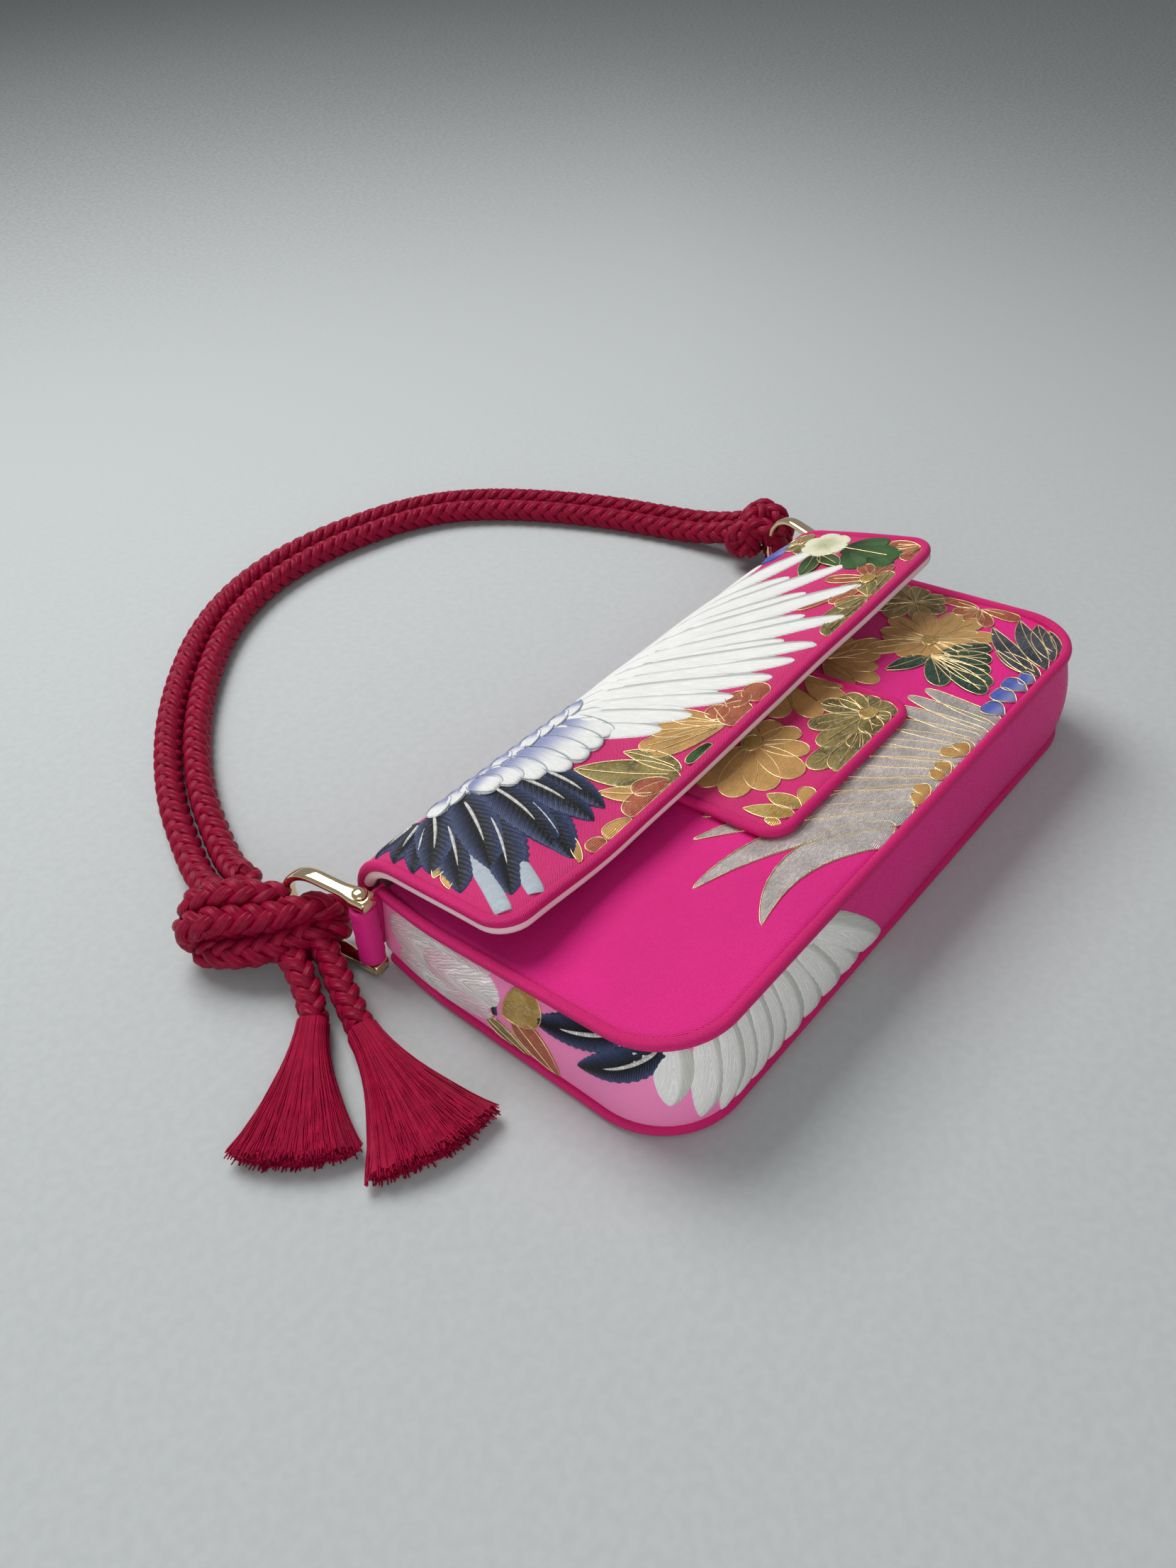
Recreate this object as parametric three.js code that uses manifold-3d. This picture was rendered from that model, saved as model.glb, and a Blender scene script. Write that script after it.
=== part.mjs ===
// Baguette bag of embroidered satin with a knotted, tasselled rope strap.
// Millimetres, +Z up. The bag lies on its back, as it does when it is laid down:
// X runs along its length, +Y from its bottom to its mouth and +Z out of its front.
// The origin is the centre of the back panel, on the surface the bag lies on.

import * as THREE from "three";
import { mergeVertices } from "three/addons/utils/BufferGeometryUtils.js";
import Module from "manifold-3d";

const wasm = await Module();
wasm.setup();

// Body: a back and a front panel joined by a gusset that runs round three sides.
const bodyLength = 258; // between the centres of the front piping
const bodyHeight = 122; // from the bottom seam to the mouth
const depthAtBottom = 41; // from the back face to the centre of the front piping
const depthAtMouth = 28;
const cornerRadius = 25; // of the front piping at the two bottom corners
const backFlare = 2; // the back seam lies this much further out than the front one
const gussetBulge = 2.4; // swell of the gusset half way between its two seams
const bulgeFadeStart = 20; // the swell fades out between these two heights
const bulgeFadeEnd = 44;
const mouthTuck = 3; // how far each end leans in at the mouth
const tuckHeight = 31; // the length below the mouth over which it leans in

// Cloth and board.
const clothThickness = 1.2; // satin with its backing
const boardThickness = 1.2;
const liningThickness = 0.6;
const plyGap = 0.3; // clearance between pieces that touch
const pipingRadius = 2;
const panelProud = 0.8; // the front panel's face above the centre of its piping

// Flap: it rises from the top of the back panel, turns over the mouth and hangs over the front.
const foldRadius = 22.6; // outer radius of the turn over the mouth
const foldBelowMouth = 10.5; // from the mouth down to the middle of the turn
const flapInset = 3.5; // its end piping lies this much inside the front piping
const flapEdgeY = 5.4; // centre of the piping along its front edge
const flapCornerRadius = 10;
const leftFlapTilt = -1.9; // slope of the flap at its left end, in degrees
const rightFlapTilt = 16; // the right end springs up
const leftCornerSpring = 8; // more slope where the left corner curls up, in degrees
const leftCornerReach = 55; // from the left end to where that curl has died out
const turnStartAngle = -90; // the turn leaves the back panel level with the floor
const hingeAngle = -30; // where the turn bends when the bag is opened
const creaseAngle = 70; // where the flap creases against the turn

// Tab under the flap's front edge, with the hidden magnet that holds it down.
const tabWidth = 84; // between the centres of its side piping
const tabCentreX = 4.5;
const tabFrontY = -31;
const tabSeamY = 28; // where it is sewn to the flap's lining
const tabLandingY = 3; // from here to its front edge it lies on the front panel
const tabCornerRadius = 8;
const magnetRadius = 9;
const magnetSetback = 14; // from the tab's front edge to the magnet's centre

// Ring, pin and cloth loop at each end of the mouth.
const pinOutset = 6; // the pins stand this much further out than the front piping
const pinBelowMouth = 0.5;
const ringHeight = 35; // across the ring, floor to top
const ringReach = 17.5; // from the pin to the centre of the ring's bow
const ringWidth = 5.4; // across the band
const ringThickness = 3;
const ringEyeWidth = 7; // the arms widen to this round the pin
const ringEyeLength = 8;
const ringEyeThickness = 4.6;
const leftRingTurn = -8.5; // how far each ring has swung outwards, in degrees
const rightRingTurn = 17;
const pinRadius = 2;
const pinHeadRadius = 2.7;
const pinHeadHeight = 1.6;
const runningGap = 0.35; // round the pin and between a ring and the rope
const loopRadius = 4.4; // outside of the cloth loop round the pin
const loopTabThickness = 2.4; // of the sewn cloth between the loop and the gusset

// Strap: one doubled rope, hitched on the right ring and knotted to the left one.
const ropeDiameter = 10.8;
const ropeSpacing = 11.3; // between the centres of the two ropes
const strapAxisPastMouth = 54; // the ropes leave both knots on this line
const strapAxisZ = 13.5;
const ropeSides = 8;

// Middle line of the two ropes from the left knot to the right hitch, laid out for pins that stand
// strapRouteHalf from the middle. Each y is a distance past the mouth.
const strapRouteHalf = 135;
const strapRoute = [
  [-148, strapAxisPastMouth, strapAxisZ],
  [-145.9, 65, 9.4],
  [-142.3, 76, 6.6],
  [-137, 89, ropeDiameter / 2],
  [-127.8, 109, ropeDiameter / 2],
  [-116.5, 128, ropeDiameter / 2],
  [-103.4, 146, ropeDiameter / 2],
  [-88.7, 162.5, ropeDiameter / 2],
  [-72.7, 177.5, ropeDiameter / 2],
  [-55.5, 191, ropeDiameter / 2],
  [-36.4, 202, ropeDiameter / 2],
  [-15.6, 209.5, ropeDiameter / 2],
  [6.2, 212.8, ropeDiameter / 2],
  [28.2, 212, ropeDiameter / 2],
  [49.9, 207.8, ropeDiameter / 2],
  [70.9, 201, ropeDiameter / 2],
  [89.8, 190, ropeDiameter / 2],
  [105.4, 174.4, ropeDiameter / 2],
  [117.9, 156.3, ropeDiameter / 2],
  [128.4, 137, ropeDiameter / 2],
  [137.4, 116.7, ropeDiameter / 2],
  [144.5, 96, ropeDiameter / 2],
  [149, 78, 6.6],
  [151.5, 65, 9.4],
  [153, strapAxisPastMouth, strapAxisZ],
];

// Two loose ends of the rope. They turn as one about a line across the mouth of the left knot,
// so that the tassels can keep to the floor while the strap is lifted. Their places, and those of
// the knots and tassels, have x from the pin on their side and y from the mouth.
const tailDiameter = 9.6;
const tailAxisPastMouth = 7;
const tailAxisZ = 10.4;
const tailRoutes = {
  left: [
    [-22.9, tailAxisPastMouth, tailAxisZ],
    [-24.6, 3.3, 8.6],
    [-26.9, -1, 6.8],
    [-29.8, -5.4, 5],
  ],
  right: [
    [-11.6, tailAxisPastMouth, tailAxisZ],
    [-14.8, -0.5, 8.6],
    [-18.4, -9, 6.8],
    [-22.4, -19.2, 5],
  ],
};

// Ends of the rope inside the left knot, from which the tails hang.
const stubRoutes = {
  left: [
    [-17, 25, 15],
    [-21.2, 11, 11.6],
  ],
  right: [
    [-7, 23, 15.5],
    [-10.4, 11, 12],
  ],
};

// Knots. Each is a rounded body of rope, given by its centre, half sizes and heading.
const leftKnot = { centre: [-18, 34, 15], half: [28, 13.5, 14.5], heading: -54 };
const rightHitch = { centre: [15, 39.5, 16.5], half: [11, 13.5, 13.5], heading: -75 };

// Tassels: the rope's unlaid ends, spread on the floor.
const tassels = {
  left: { neck: [-31.1, -6.6], length: 48.5, heading: -138, spread: 43 },
  right: { neck: [-23.1, -20.7], length: 51.5, heading: -106.5, spread: 46 },
};
const tasselNeckHeight = 10.2;
const tasselEndHeight = 8;

const degree = Math.PI / 180;
const halfHeight = bodyHeight / 2;
const flapLength = bodyLength - 2 * flapInset;
const foldCentreY = halfHeight - foldBelowMouth;
const pinX = bodyLength / 2 + pinOutset;
const pinY = halfHeight - pinBelowMouth;
const stackHeight = clothThickness + boardThickness + liningThickness + 2 * plyGap;
const boardTop = clothThickness + plyGap;
const liningTop = boardTop + boardThickness + plyGap;
const seamInset = pipingRadius + plyGap;

// Each ply of a sheet, as its top and bottom measured down from the sheet's face.
const plies = {
  cloth: [0, clothThickness],
  board: [boardTop, boardTop + boardThickness],
  lining: [liningTop, liningTop + liningThickness],
};

const satin = { color: 0xc4166b, roughness: 0.5, metalness: 0 };
const paleSatin = { color: 0xe87fb0, roughness: 0.45, metalness: 0 };
const liningCloth = { color: 0xf3c9d6, roughness: 0.6, metalness: 0 };
const board = { color: 0xb9ab92, roughness: 0.9, metalness: 0 };
const pipingCloth = { color: 0xb80f60, roughness: 0.5, metalness: 0 };
const gold = { color: 0xe8cf94, roughness: 0.15, metalness: 1 };
const steel = { color: 0x9a9a9c, roughness: 0.35, metalness: 1 };
const rope = { color: 0xa30e3c, roughness: 0.55, metalness: 0 };

const bag = new THREE.Group();

// A place given from the mouth beside one of the pins.
function besidePin(side, [x, y, z = 0]) {
  return new THREE.Vector3(side * pinX + x, halfHeight + y, z);
}

function addPiece(name, geometry, finish) {
  const piece = new THREE.Mesh(geometry, new THREE.MeshStandardMaterial(finish));
  piece.name = name;
  bag.add(piece);
  return piece;
}

// Closed meshes with shared corners, for joining and cutting.
function closed(geometry) {
  const bare = geometry.clone();
  bare.deleteAttribute("normal");
  bare.deleteAttribute("uv");
  return mergeVertices(bare);
}

function solid(geometry) {
  const merged = closed(geometry);
  const vertProperties = new Float32Array(merged.attributes.position.array);
  const triVerts = new Uint32Array(merged.index.array);
  return new wasm.Manifold(new wasm.Mesh({ numProp: 3, vertProperties, triVerts }));
}

function fromSolid(shape) {
  const mesh = shape.getMesh();
  const geometry = new THREE.BufferGeometry();
  geometry.setAttribute("position", new THREE.BufferAttribute(mesh.vertProperties, 3));
  geometry.setIndex(new THREE.BufferAttribute(mesh.triVerts, 1));
  geometry.computeVertexNormals();
  return geometry;
}

// Moves every corner of a geometry to the place that a function gives it.
function bend(geometry, place) {
  const bent = closed(geometry);
  const corners = bent.attributes.position;
  const corner = new THREE.Vector3();
  for (let i = 0; i < corners.count; i += 1) {
    corner.copy(place(corner.fromBufferAttribute(corners, i)));
    corners.setXYZ(i, corner.x, corner.y, corner.z);
  }
  bent.computeVertexNormals();
  return bent;
}

// A sheet made of columns and rows. place(column, row, side) gives each corner,
// with side 0 on its face and 1 on its back.
function sheet(columns, rows, place) {
  const blank = new THREE.BoxGeometry(columns, rows, 1, columns, rows, 1);
  return bend(blank, (p) => {
    const column = Math.round(p.x + columns / 2);
    const row = Math.round(p.y + rows / 2);
    return place(column, row, p.z > 0 ? 0 : 1);
  });
}

// A path that goes straight from point to point, with one step for each.
class PointPath extends THREE.Curve {
  constructor(points) {
    super();
    this.points = points;
  }

  getPoint(t, target = new THREE.Vector3()) {
    const last = this.points.length - 1;
    const place = THREE.MathUtils.clamp(t, 0, 1) * last;
    const i = Math.min(Math.floor(place), last - 1);
    return target.lerpVectors(this.points[i], this.points[i + 1], place - i);
  }

  getUtoTmapping(u) {
    return u;
  }
}

function tube(points, radius, sides) {
  const section = new THREE.Shape(
    Array.from({ length: sides }, (_, i) => {
      const angle = (2 * Math.PI * (i + 0.5)) / sides;
      return new THREE.Vector2(radius * Math.cos(angle), radius * Math.sin(angle));
    })
  );
  return new THREE.ExtrudeGeometry(section, {
    steps: points.length - 1,
    extrudePath: new PointPath(points),
  });
}

// Body seams

function frontHeight(y) {
  const rise = (y + halfHeight) / bodyHeight;
  return depthAtBottom - (depthAtBottom - depthAtMouth) * rise;
}

function tuckAt(y) {
  const start = halfHeight - tuckHeight;
  const share = Math.max(0, (y - start) / tuckHeight);
  return mouthTuck * share ** 1.5;
}

// The seam as a row of points from the mouth at the left end, round the bottom, to the mouth
// at the right end. level is 0 at the back seam and 1 at the front one.
function seamLine(level, outward, topY = halfHeight) {
  const tuckSteps = 5;
  const cornerSteps = 6;
  const flare = backFlare * (1 - level);
  const halfLength = bodyLength / 2 + flare + outward;
  const bottom = -halfHeight - flare - outward;
  const radius = cornerRadius + flare + outward;
  const tuckStart = halfHeight - tuckHeight;
  const left = [];
  for (let i = 0; i <= tuckSteps; i += 1) {
    const y = THREE.MathUtils.lerp(topY, tuckStart, i / tuckSteps);
    left.push(new THREE.Vector2(-halfLength + tuckAt(y), y));
  }
  for (let i = 0; i <= cornerSteps; i += 1) {
    const angle = Math.PI + (i / cornerSteps) * (Math.PI / 2);
    const x = -halfLength + radius + radius * Math.cos(angle);
    left.push(new THREE.Vector2(x, bottom + radius + radius * Math.sin(angle)));
  }
  const right = left.map((p) => new THREE.Vector2(-p.x, p.y)).reverse();
  return [...left, ...right];
}

function flatPlate(outline, thickness, hole) {
  const shape = new THREE.Shape(outline);
  if (hole) {
    const ring = new THREE.Path();
    ring.absarc(hole.x, hole.y, hole.radius, 0, 2 * Math.PI, true);
    shape.holes.push(ring);
  }
  return new THREE.ExtrudeGeometry(shape, { depth: thickness, bevelEnabled: false, curveSegments: 10 });
}

// Back panel, lying on the floor and turned up at its top as far as the hinge line

const turnSteps = 5;
const turnHalf = flapLength / 2 - seamInset;

function onTurn(x, angle, depth) {
  const radius = foldRadius - depth;
  const y = foldCentreY + radius * Math.cos(angle * degree);
  return new THREE.Vector3(x, y, foldRadius + radius * Math.sin(angle * degree));
}

function turnedSheet(firstAngle, lastAngle, [top, bottom], halfWidth) {
  return sheet(2, turnSteps, (column, row, side) => {
    const angle = THREE.MathUtils.lerp(firstAngle, lastAngle, row / turnSteps);
    return onTurn((1 - column) * halfWidth, angle, side ? bottom : top);
  });
}

function backPly([low, high]) {
  const overlap = 0.5;
  const outline = seamLine(0, -seamInset, foldCentreY + overlap);
  const plate = flatPlate(outline, high - low).translate(0, 0, low);
  const turn = turnedSheet(turnStartAngle, hingeAngle, [low, high], turnHalf);
  return fromSolid(solid(plate).add(solid(turn)));
}

addPiece("back_panel", backPly(plies.cloth), satin);
addPiece("back_stiffener", backPly(plies.board), board);
addPiece("back_lining", backPly(plies.lining), liningCloth);

// Front panel, sloping down towards the mouth, with a hole in its board for the magnet

const magnetY = tabFrontY + magnetSetback;
const magnetHole = { x: tabCentreX, y: magnetY, radius: magnetRadius + plyGap };

function frontPly([top, bottom], inset, hole) {
  const outline = seamLine(1, -inset);
  const plate = flatPlate(outline, bottom - top, hole);
  return bend(plate, (p) => p.setZ(p.z + frontHeight(p.y) + panelProud - bottom));
}

const innerInset = seamInset + stackHeight;
addPiece("front_panel", frontPly(plies.cloth, seamInset), satin);
addPiece("front_stiffener", frontPly(plies.board, seamInset, magnetHole), board);
addPiece("front_lining", frontPly(plies.lining, innerInset), liningCloth);

function magnetDisc(x, y, faceZ, slope) {
  const disc = new THREE.CylinderGeometry(magnetRadius, magnetRadius, boardThickness, 24);
  disc.rotateX(Math.PI / 2);
  return bend(disc, (p) => {
    const z = p.z + faceZ - boardThickness / 2 + slope * p.y;
    return p.set(p.x + x, p.y + y, z);
  });
}

const frontSlope = (depthAtMouth - depthAtBottom) / bodyHeight;
const frontMagnetFace = frontHeight(magnetY) + panelProud - boardTop;
addPiece("front_magnet", magnetDisc(tabCentreX, magnetY, frontMagnetFace, frontSlope), steel);

// Gusset: its middle surface runs from the back piping to the front piping

const gussetRows = 4;
const gussetFloor = 2 * pipingRadius + plyGap;
const plyMiddle = clothThickness / 2;

function gussetPly([top, bottom]) {
  const sides = [plyMiddle - top, plyMiddle - bottom];
  const columns = seamLine(0, 0).length - 1;
  return sheet(columns, gussetRows, (column, row, side) => {
    const level = row / gussetRows;
    const height = seamLine(level, sides[side])[column].y;
    const fade = 1 - THREE.MathUtils.smoothstep(height, bulgeFadeStart, bulgeFadeEnd);
    const swell = gussetBulge * Math.sin(Math.PI * level) * fade;
    const p = seamLine(level, sides[side] + swell)[column];
    const ceiling = frontHeight(p.y) - seamInset;
    return new THREE.Vector3(p.x, p.y, THREE.MathUtils.lerp(gussetFloor, ceiling, row / gussetRows));
  });
}

addPiece("gusset", gussetPly(plies.cloth), paleSatin);
addPiece("gusset_stiffener", gussetPly(plies.board), board);
addPiece("gusset_lining", gussetPly(plies.lining), liningCloth);

// Piping along both seams. The back one stops short of the ring's loop.

const pipingSides = 8;
const backPipingTop = halfHeight - loopRadius;

const frontPipingLine = seamLine(1, 0).map((p) => new THREE.Vector3(p.x, p.y, frontHeight(p.y)));
const backPipingLine = seamLine(0, 0, backPipingTop).map((p) => new THREE.Vector3(p.x, p.y, pipingRadius));
addPiece("front_piping", tube(frontPipingLine, pipingRadius, pipingSides), pipingCloth);
addPiece("back_piping", tube(backPipingLine, pipingRadius, pipingSides), pipingCloth);

// Turn of the flap over the mouth

const splitAngle = plyGap / foldRadius / degree;
const firstTurnAngle = hingeAngle + splitAngle;

function turnPly(ply) {
  return turnedSheet(firstTurnAngle, creaseAngle, ply, turnHalf);
}

addPiece("flap_turn", turnPly(plies.cloth), satin);
addPiece("flap_turn_stiffener", turnPly(plies.board), board);
addPiece("flap_turn_lining", turnPly(plies.lining), liningCloth);

const pipingDepth = stackHeight / 2;

function turnPiping(side) {
  const points = [];
  for (let i = 0; i <= turnSteps * 2; i += 1) {
    const angle = THREE.MathUtils.lerp(firstTurnAngle, creaseAngle, i / (turnSteps * 2));
    points.push(onTurn((side * flapLength) / 2, angle, pipingDepth));
  }
  return tube(points, pipingRadius, pipingSides);
}

addPiece("flap_turn_piping_left", turnPiping(-1), pipingCloth);
addPiece("flap_turn_piping_right", turnPiping(1), pipingCloth);

// Flap: the rest of the turn, then a straight fall whose slope changes along the bag

function flapTilt(x) {
  const fromLeft = x + flapLength / 2;
  const curl = leftCornerSpring * (1 - THREE.MathUtils.smoothstep(fromLeft, 0, leftCornerReach));
  return THREE.MathUtils.lerp(leftFlapTilt, rightFlapTilt, fromLeft / flapLength) + curl;
}

// A point of the flap at x, a distance along its outer face from the crease, and a depth below it.
function onFlap(x, along, depth) {
  const endAngle = 90 - flapTilt(x);
  const turnLength = foldRadius * (endAngle - creaseAngle) * degree;
  if (along <= turnLength) {
    return onTurn(x, creaseAngle + along / foldRadius / degree, depth);
  }
  const straight = along - turnLength;
  const p = onTurn(x, endAngle, depth);
  p.y -= straight * Math.sin(endAngle * degree);
  p.z += straight * Math.cos(endAngle * degree);
  return p;
}

function flapTurnLength(x) {
  return foldRadius * (90 - flapTilt(x) - creaseAngle) * degree;
}

function flapReach(x, edgeY) {
  const endAngle = (90 - flapTilt(x)) * degree;
  const startY = foldCentreY + foldRadius * Math.cos(endAngle);
  return flapTurnLength(x) + (startY - edgeY) / Math.sin(endAngle);
}

// Columns of a tongue with two rounded front corners: each has its x and how much it falls short.
function tongueColumns(halfWidth, radius, middleColumns) {
  const cornerSteps = 4;
  const columns = [];
  for (let i = cornerSteps; i >= 0; i -= 1) {
    const angle = (i / cornerSteps) * (Math.PI / 2);
    columns.push({ x: -halfWidth + radius * (1 - Math.sin(angle)), short: radius * (1 - Math.cos(angle)) });
  }
  const inner = halfWidth - radius;
  for (let i = 1; i < middleColumns; i += 1) {
    columns.push({ x: THREE.MathUtils.lerp(-inner, inner, i / middleColumns), short: 0 });
  }
  const mirrored = columns.slice(0, cornerSteps + 1).map((c) => ({ x: -c.x, short: c.short }));
  return [...columns, ...mirrored.reverse()];
}

const flapColumns = 12;
const flapTurnRows = 2;
const flapFallRows = 5;

function flapPly([top, bottom]) {
  const columns = tongueColumns(turnHalf, flapCornerRadius - seamInset, flapColumns);
  const count = columns.length - 1;
  const rows = flapTurnRows + flapFallRows;
  return sheet(count, rows, (column, row, side) => {
    const { x, short } = columns[count - column];
    const end = flapReach(x, flapEdgeY + seamInset + short);
    const turn = flapTurnLength(x);
    const inTurn = THREE.MathUtils.lerp(plyGap, turn, row / flapTurnRows);
    const inFall = THREE.MathUtils.lerp(turn, end, (row - flapTurnRows) / flapFallRows);
    return onFlap(x, row <= flapTurnRows ? inTurn : inFall, side ? bottom : top);
  });
}

addPiece("flap", flapPly(plies.cloth), satin);
addPiece("flap_stiffener", flapPly(plies.board), board);
addPiece("flap_lining", flapPly(plies.lining), liningCloth);

function flapPipingLine() {
  const columns = tongueColumns(flapLength / 2, flapCornerRadius, flapColumns);
  const first = columns[0].x;
  const sideRows = flapTurnRows * 2 + 1;
  const sideEnd = flapReach(first, flapEdgeY + flapCornerRadius);
  const side = [];
  for (let i = 0; i < sideRows; i += 1) {
    const share = i / sideRows;
    side.push(THREE.MathUtils.lerp(3 * plyGap, sideEnd, share));
  }
  const left = side.map((along) => onFlap(first, along, pipingDepth));
  const front = columns.map(({ x, short }) => onFlap(x, flapReach(x, flapEdgeY + short), pipingDepth));
  const rightEnd = flapReach(-first, flapEdgeY + flapCornerRadius);
  const right = side.map((along) => onFlap(-first, (along * rightEnd) / sideEnd, pipingDepth));
  return [...left, ...front, ...right.reverse()];
}

addPiece("flap_piping", tube(flapPipingLine(), pipingRadius, pipingSides), pipingCloth);

// Tab: sewn under the flap, falling to the front panel and lying on it

function flapUnderside(x, y) {
  const p = onFlap(x, flapReach(x, y), 0);
  return p.z - stackHeight / Math.cos(flapTilt(x) * degree);
}

function tabLandingHeight(y) {
  return frontHeight(y) + panelProud + plyGap + stackHeight;
}

function tabFace(x, y) {
  if (y <= tabLandingY) {
    return tabLandingHeight(y);
  }
  const start = flapUnderside(x, tabSeamY) - plyGap;
  const share = (y - tabLandingY) / (tabSeamY - tabLandingY);
  return THREE.MathUtils.lerp(tabLandingHeight(y), start, share ** 1.6);
}

const tabFallRows = 5;
const tabHalf = tabWidth / 2;

function tabPoint(x, y, depth) {
  return new THREE.Vector3(tabCentreX + x, y, tabFace(tabCentreX + x, y) - depth);
}

function tabPly([top, bottom], hole) {
  const columns = tongueColumns(tabHalf - seamInset, tabCornerRadius - seamInset, 3);
  const count = columns.length - 1;
  const rows = tabFallRows + 1;
  const ply = sheet(count, rows, (column, row, side) => {
    const { x, short } = columns[count - column];
    const end = tabFrontY + seamInset + short;
    const fall = THREE.MathUtils.lerp(tabSeamY, tabLandingY, row / tabFallRows);
    return tabPoint(x, row <= tabFallRows ? fall : end, side ? bottom : top);
  });
  if (!hole) {
    return ply;
  }
  const cutter = new THREE.CylinderGeometry(hole.radius, hole.radius, depthAtBottom, 24);
  cutter.rotateX(Math.PI / 2).translate(hole.x, hole.y, tabFace(hole.x, hole.y));
  return fromSolid(solid(ply).subtract(solid(cutter)));
}

addPiece("tab", tabPly(plies.cloth), satin);
addPiece("tab_stiffener", tabPly(plies.board, magnetHole), board);
addPiece("tab_lining", tabPly(plies.lining), liningCloth);
const tabMagnetFace = tabLandingHeight(magnetY) - boardTop;
addPiece("tab_magnet", magnetDisc(tabCentreX, magnetY, tabMagnetFace, frontSlope), steel);

function tabPipingLine() {
  const columns = tongueColumns(tabHalf, tabCornerRadius, 3);
  const depth = stackHeight - pipingRadius;
  const side = [];
  for (let row = 0; row <= tabFallRows; row += 1) {
    side.push(THREE.MathUtils.lerp(tabSeamY, tabLandingY, row / tabFallRows));
  }
  const left = side.map((y) => tabPoint(-tabHalf, y, depth));
  const front = columns.map(({ x, short }) => tabPoint(x, tabFrontY + short, depth));
  const right = side.map((y) => tabPoint(tabHalf, y, depth)).reverse();
  return [...left, ...front, ...right];
}

addPiece("tab_piping", tube(tabPipingLine(), pipingRadius, pipingSides), pipingCloth);

// Rings: a bow with two straight arms that widen round the pin

const ringMiddle = ringHeight / 2;
const armHeight = (ringHeight - ringEyeThickness) / 2;
const bowHeight = (ringHeight - ringThickness) / 2;

function roundedSquare(across, up) {
  const shrink = Math.max(Math.abs(across), Math.abs(up)) / Math.hypot(across, up);
  const roundness = 0.75;
  return THREE.MathUtils.lerp(1, shrink, roundness);
}

const armShare = 0.3; // of the band's length that each arm takes
const armStations = 6;
const ringStations = 20;

// The band's centre, heading and half sizes, from the lower eye round the bow to the upper eye.
function ringStation(share) {
  const side = share < 0.5 ? -1 : 1;
  const fromEnd = share < 0.5 ? share : 1 - share;
  if (fromEnd <= armShare) {
    const along = fromEnd / armShare;
    const y = THREE.MathUtils.lerp(-ringEyeLength / 2, ringReach, along);
    const past = Math.max(0, (y - ringEyeLength / 2) / (ringReach - ringEyeLength / 2));
    const ease = THREE.MathUtils.smoothstep(past, 0, 1);
    return {
      y,
      z: side * THREE.MathUtils.lerp(armHeight, bowHeight, ease),
      angle: side * 90,
      width: THREE.MathUtils.lerp(ringEyeWidth, ringWidth, ease) / 2,
      thickness: THREE.MathUtils.lerp(ringEyeThickness, ringThickness, ease) / 2,
    };
  }
  const turn = (fromEnd - armShare) / (0.5 - armShare);
  const angle = side * (90 - 90 * turn);
  return {
    y: ringReach + bowHeight * Math.cos(angle * degree),
    z: bowHeight * Math.sin(angle * degree),
    angle,
    width: ringWidth / 2,
    thickness: ringThickness / 2,
  };
}

function ringBand(growth) {
  const half = ringStations / 2;
  const blank = new THREE.BoxGeometry(2, 2, ringStations, 2, 2, ringStations);
  return bend(blank, (p) => {
    const station = Math.round(p.z + half);
    const ends = Math.min(station, ringStations - station);
    const bowShare = armShare + ((ends - armStations) / (half - armStations)) * (0.5 - armShare);
    const fromEnd = ends <= armStations ? (ends / armStations) * armShare : bowShare;
    const share = station <= half ? fromEnd : 1 - fromEnd;
    const { y, z, angle, width, thickness } = ringStation(share);
    const round = p.x || p.y ? roundedSquare(p.x, p.y) : 1;
    const x = p.x * round * (width + growth);
    const outward = p.y * round * (thickness + growth);
    return p.set(x, y + outward * Math.cos(angle * degree), z + outward * Math.sin(angle * degree));
  });
}

function ringSolid(growth) {
  const boreRadius = pinRadius + runningGap;
  const bore = new THREE.CylinderGeometry(boreRadius, boreRadius, ringHeight * 2, 20);
  return solid(ringBand(growth)).subtract(solid(bore.rotateX(Math.PI / 2)));
}

function placeAtRing(geometry, side) {
  const turn = side < 0 ? leftRingTurn : rightRingTurn;
  return geometry.rotateZ(-turn * degree).translate(side * pinX, pinY, ringMiddle);
}

function ringPin() {
  const shoulder = ringMiddle + plyGap;
  const bottom = -ringMiddle + plyGap;
  const dome = [0, 30, 60].map((angle) => [
    pinHeadRadius * Math.cos(angle * degree),
    shoulder + pinHeadHeight * Math.sin(angle * degree),
  ]);
  const profile = [
    [0, bottom],
    [pinRadius, bottom],
    [pinRadius, shoulder],
    ...dome,
    [0, shoulder + pinHeadHeight],
  ].map(([x, y]) => new THREE.Vector2(x, y));
  return new THREE.LatheGeometry(profile, 20).rotateX(Math.PI / 2);
}

const ringNames = { [-1]: "left", 1: "right" };

for (const side of [-1, 1]) {
  addPiece(`${ringNames[side]}_ring`, placeAtRing(fromSolid(ringSolid(0)), side), gold);
  addPiece(`${ringNames[side]}_pin`, placeAtRing(ringPin(), side), gold);
}

// Cloth loops: each goes round its pin, and its tab is sewn across the end of the gusset

const loopHeight = ringHeight - 2 * ringEyeThickness - 2 * plyGap;

function pinLoop(side) {
  const outline = new THREE.Shape();
  outline.absarc(0, 0, loopRadius, 0, 2 * Math.PI, false);
  const bore = new THREE.Path();
  bore.absarc(0, 0, pinRadius + runningGap, 0, 2 * Math.PI, true);
  outline.holes.push(bore);
  const extrusion = { depth: loopHeight, bevelEnabled: false, curveSegments: 10 };
  const loop = new THREE.ExtrudeGeometry(outline, extrusion);
  return loop.translate(side * pinX, pinY, ringMiddle - loopHeight / 2);
}

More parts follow.
